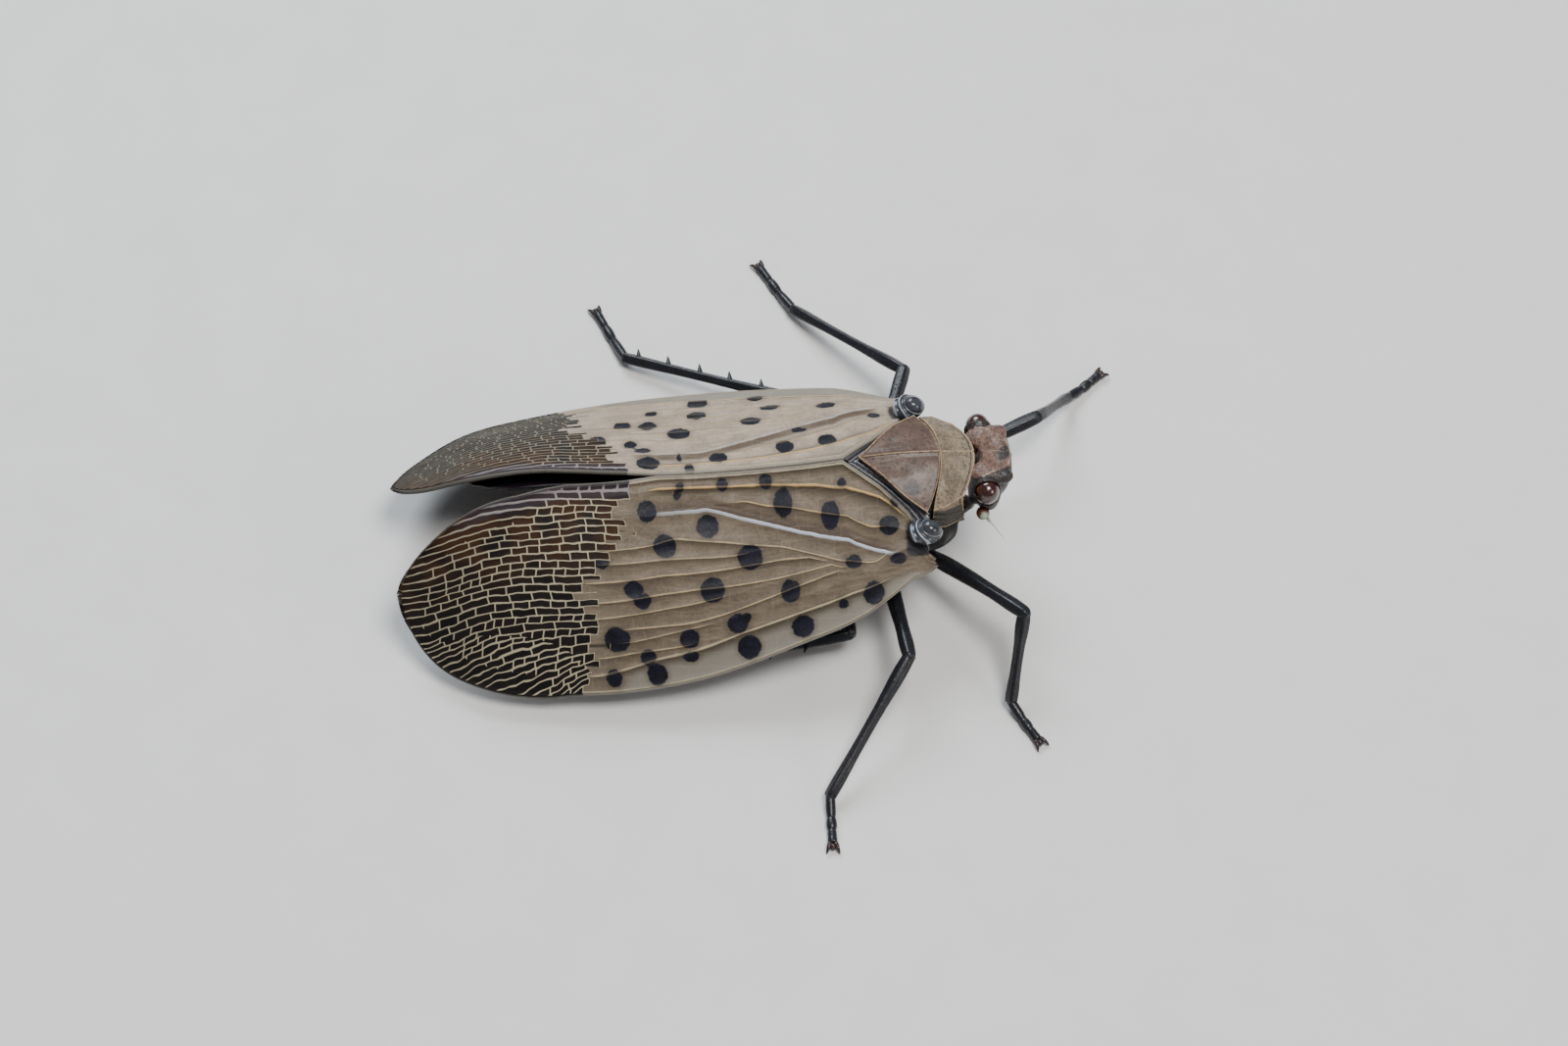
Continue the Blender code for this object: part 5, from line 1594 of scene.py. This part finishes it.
class WingSettings(bpy.types.PropertyGroup):
    # Over the membrane's own colour, the left one holds a painted sheen that makes it much lighter than the
    # right.
    membrane_right: colour("Right membrane", "Colour of the right forewing", (0.155, 0.12, 0.084))
    membrane_left: colour("Left membrane", "Colour of the left forewing", (0.40, 0.32, 0.24))
    strip: colour("Costal strip", "Colour of the strip along the front edge", (0.21, 0.195, 0.165))
    vein: colour("Veins", "Colour of the veins", (0.40, 0.345, 0.235))
    warm_vein: colour("Claval veins", "Colour of the two veins nearest the midline", (0.58, 0.37, 0.15))
    spot: colour("Spots", "Colour of the spots", (0.006, 0.006, 0.012))
    net: colour("Net cells", "Colour of the cells of the netted tip", (0.009, 0.006, 0.005))
    # Colour of the painted highlight along the claval fold.
    fold_highlight: colour("Claval fold", "Colour of the bright fold line", (0.5, 0.54, 0.62))
    red: colour("Hindwing base", "Colour of the hindwing's base", (0.42, 0.03, 0.015))
    white: colour("Hindwing bar", "Colour of the hindwing's bar", (0.62, 0.58, 0.52))
    # Strength of the painted highlight along each claval fold, weaker on the left wing.
    shine_right: share("Right fold", "Strength of the right wing's bright fold line", 0.95)
    shine_left: share("Left fold", "Strength of the left wing's bright fold line", 0.3)
    web_right: share("Right net veins", "Brightness of the right wing's net veins", 1.0)
    web_left: share("Left net veins", "Brightness of the left wing's net veins", 0.55)
    thickness: length("Thickness", "Thickness of a forewing", 0.00016)
    ridge: length("Vein height", "Height of a main vein over the membrane", 0.00005)


class BodySettings(bpy.types.PropertyGroup):
    shield: colour("Mesonotum", "Main colour of the mesonotum", (0.07, 0.038, 0.025))
    saddle: colour("Pronotum", "Main colour of the pronotum", (0.155, 0.115, 0.074))
    crown: colour("Head", "Main colour of the head", (0.07, 0.038, 0.028))
    ridge: colour("Ridges", "Colour of keels and raised rims", (0.40, 0.27, 0.15))
    chest: colour("Chest", "Main colour of the chest", (0.006, 0.005, 0.005))
    belly: colour("Belly", "Yellow of the belly", (0.55, 0.36, 0.06))
    eye: colour("Eyes", "Colour of the eyes", (0.05, 0.012, 0.007))
    bulb: colour("Antennae", "Colour of the antennae", (0.09, 0.022, 0.009))
    cap: colour("Tegulae", "Colour of the caps over the wing hinges", (0.03, 0.036, 0.052))


class LegSettings(bpy.types.PropertyGroup):
    black: colour("Legs", "Main colour of the legs", (0.005, 0.005, 0.007))
    # Colour of the painted sheen on the legs.
    sheen: colour("Bloom", "Blue-grey bloom on the ridges of the legs", (0.012, 0.018, 0.028))
    rust: colour("Rust", "Red-brown of the undersides of the thighs", (0.13, 0.036, 0.016))


class StageSettings(bpy.types.PropertyGroup):
    floor_colour: colour("Floor", "Colour of the floor", (0.72, 0.71, 0.69))
    floor_size: length("Floor size", "Side of the square floor", 1.2)
    room_strength: number("Room light", "Brightness of the room all round", 0.22, min=0.0)
    light_strength: number("Lamps", "Power of the lamps, set against their own", 1.0, min=0.0)
    lens: number("Lens", "Focal length", 100.0, min=1.0, unit="CAMERA")
    distance: length("Distance", "From the camera to the insect", 0.1778)
    azimuth: angle("Azimuth", "Turn of the camera", -8.0)
    elevation: angle("Elevation", "Height of the camera", 58.0)
    roll: angle("Roll", "Lean of the camera", -2.5)


class LANTERNFLY_OT_finishes(bpy.types.Operator):
    """Make the shader groups that the materials share"""

    bl_idname = "lanternfly.finishes"
    bl_label = "Shared Finishes"

    def execute(self, context):
        for build in (mottle_group, pits_group, dust_group, net_group):
            build()
        return {"FINISHED"}


class LANTERNFLY_OT_forewings(bpy.types.Operator):
    """Make the two forewings"""

    bl_idname = "lanternfly.forewings"
    bl_label = "Forewings"

    def execute(self, context):
        w = context.scene.lanternfly_wings
        for side, label in SIDES:
            spots = SPOTS_LEFT if side > 0 else SPOTS_RIGHT
            material = forewing_material(label, w)
            forewing(label, side, spots, material, w.thickness / MM, w.ridge / MM)
        return {"FINISHED"}


class LANTERNFLY_OT_hindwings(bpy.types.Operator):
    """Make the two hindwings"""

    bl_idname = "lanternfly.hindwings"
    bl_label = "Hindwings"

    def execute(self, context):
        w = context.scene.lanternfly_wings
        material = hindwing_material("hindwing_red_black", w.red, w.white, w.spot)
        for side, label in SIDES:
            hindwing(label, side, material)
        return {"FINISHED"}


class LANTERNFLY_OT_trunk(bpy.types.Operator):
    """Make the skin of the chest and belly"""

    bl_idname = "lanternfly.trunk"
    bl_label = "Chest and Belly"

    def execute(self, context):
        b = context.scene.lanternfly_body
        trunk(trunk_material("trunk_chitin", b.chest, b.belly, b.ridge))
        return {"FINISHED"}


class LANTERNFLY_OT_plates(bpy.types.Operator):
    """Make the mesonotum, the pronotum, the tegulae and the strips beside them"""

    bl_idname = "lanternfly.plates"
    bl_label = "Back Plates"

    def execute(self, context):
        b = context.scene.lanternfly_body
        shell, saddle, ridge, blue = b.shield, b.saddle, b.ridge, b.cap
        mesonotum(crust_material(
            "mesonotum_chitin", scaled(shell, 1.5), scaled(shell, 0.55), ridge, (0.008, 0.005, 0.006),
            roughness=0.46, coat=0.12, pits=5.0,
        ))
        pronotum(crust_material(
            "pronotum_chitin", scaled(saddle, 1.5), scaled(saddle, 0.35), scaled(ridge, 1.1),
            (0.006, 0.005, 0.005), roughness=0.5, coat=0.08, pits=7.0, blotch=2.2,
        ))
        # The tegula's pale ridge colour is a painted highlight.
        cap = crust_material(
            "tegula_chitin", blue, scaled(blue, 0.3), (0.3, 0.35, 0.42), (0.006, 0.007, 0.01),
            roughness=0.2, coat=0.7, pits=1.6,
        )
        strip = crust_material(
            "strip_chitin", (0.06, 0.058, 0.066), (0.015, 0.014, 0.018), (0.2, 0.21, 0.24),
            (0.01, 0.01, 0.012), roughness=0.3, coat=0.5, pits=9.0,
        )
        for side, label in SIDES:
            tegula(label, side, cap)
            axillary_strip(label, side, strip)
        return {"FINISHED"}


class LANTERNFLY_OT_head(bpy.types.Operator):
    """Make the head, eyes, antennae and beak"""

    bl_idname = "lanternfly.head"
    bl_label = "Head"

    def execute(self, context):
        b = context.scene.lanternfly_body
        crown = b.crown
        head(crust_material(
            "head_chitin", scaled(crown, 2.9), scaled(crown, 0.3), (0.36, 0.27, 0.2), (0.006, 0.005, 0.006),
            roughness=0.45, coat=0.12, pits=6.0, blotch=4.5,
        ))
        globe = eye_material("eye_gloss", b.eye)
        bulb = feeler_material("antenna_chitin", b.bulb, (0.3, 0.36, 0.27))
        for side, label in SIDES:
            eye(label, side, globe)
            antenna(label, side, bulb)
        rostrum(leg_material("beak_chitin", (0.02, 0.014, 0.011), (0.08, 0.07, 0.06), (0.2, 0.08, 0.03)))
        return {"FINISHED"}


class LANTERNFLY_OT_legs(bpy.types.Operator):
    """Make the six legs and their claws"""

    bl_idname = "lanternfly.legs"
    bl_label = "Legs"

    def execute(self, context):
        g = context.scene.lanternfly_legs
        skin = leg_material("leg_chitin", g.black, g.sheen, g.rust)
        claw = leg_material("claw_horn", scaled(g.black, 1.6), g.sheen, (0.09, 0.035, 0.015))
        for label in LEGS:
            claws(label, *leg(label, skin), claw)
        return {"FINISHED"}


class LANTERNFLY_OT_stage(bpy.types.Operator):
    """Make the floor, the lights and the camera"""

    bl_idname = "lanternfly.stage"
    bl_label = "Stage"

    def execute(self, context):
        stage(context.scene.lanternfly_stage)
        return {"FINISHED"}


class LANTERNFLY_PT_panel(bpy.types.Panel):
    """Lists the pieces and their settings"""

    bl_idname = "LANTERNFLY_PT_panel"
    bl_label = "Spotted Lanternfly"
    bl_space_type = "VIEW_3D"
    bl_region_type = "UI"
    bl_category = "Lanternfly"

    def draw(self, context):
        column = self.layout.column()
        for operator in OPERATORS:
            column.operator(operator.bl_idname)
        for name, group in SETTINGS:
            box = self.layout.box()
            for key in group.__annotations__:
                box.prop(getattr(context.scene, name), key)


SETTINGS = (
    ("lanternfly_wings", WingSettings),
    ("lanternfly_body", BodySettings),
    ("lanternfly_legs", LegSettings),
    ("lanternfly_stage", StageSettings),
)
OPERATORS = (
    LANTERNFLY_OT_finishes,
    LANTERNFLY_OT_forewings,
    LANTERNFLY_OT_hindwings,
    LANTERNFLY_OT_trunk,
    LANTERNFLY_OT_plates,
    LANTERNFLY_OT_head,
    LANTERNFLY_OT_legs,
    LANTERNFLY_OT_stage,
)


def register():
    """Makes the settings, operators and panel known."""
    for name, group in SETTINGS:
        bpy.utils.register_class(group)
        setattr(bpy.types.Scene, name, bpy.props.PointerProperty(type=group))
    for kind in (*OPERATORS, LANTERNFLY_PT_panel):
        bpy.utils.register_class(kind)


def unregister():
    for kind in reversed((*OPERATORS, LANTERNFLY_PT_panel)):
        bpy.utils.unregister_class(kind)
    for name, group in reversed(SETTINGS):
        delattr(bpy.types.Scene, name)
        bpy.utils.unregister_class(group)


def main():
    """Builds every piece and the stage."""
    register()
    for operator in OPERATORS:
        family, name = operator.bl_idname.split(".")
        getattr(getattr(bpy.ops, family), name)()


if __name__ == "__main__":
    main()
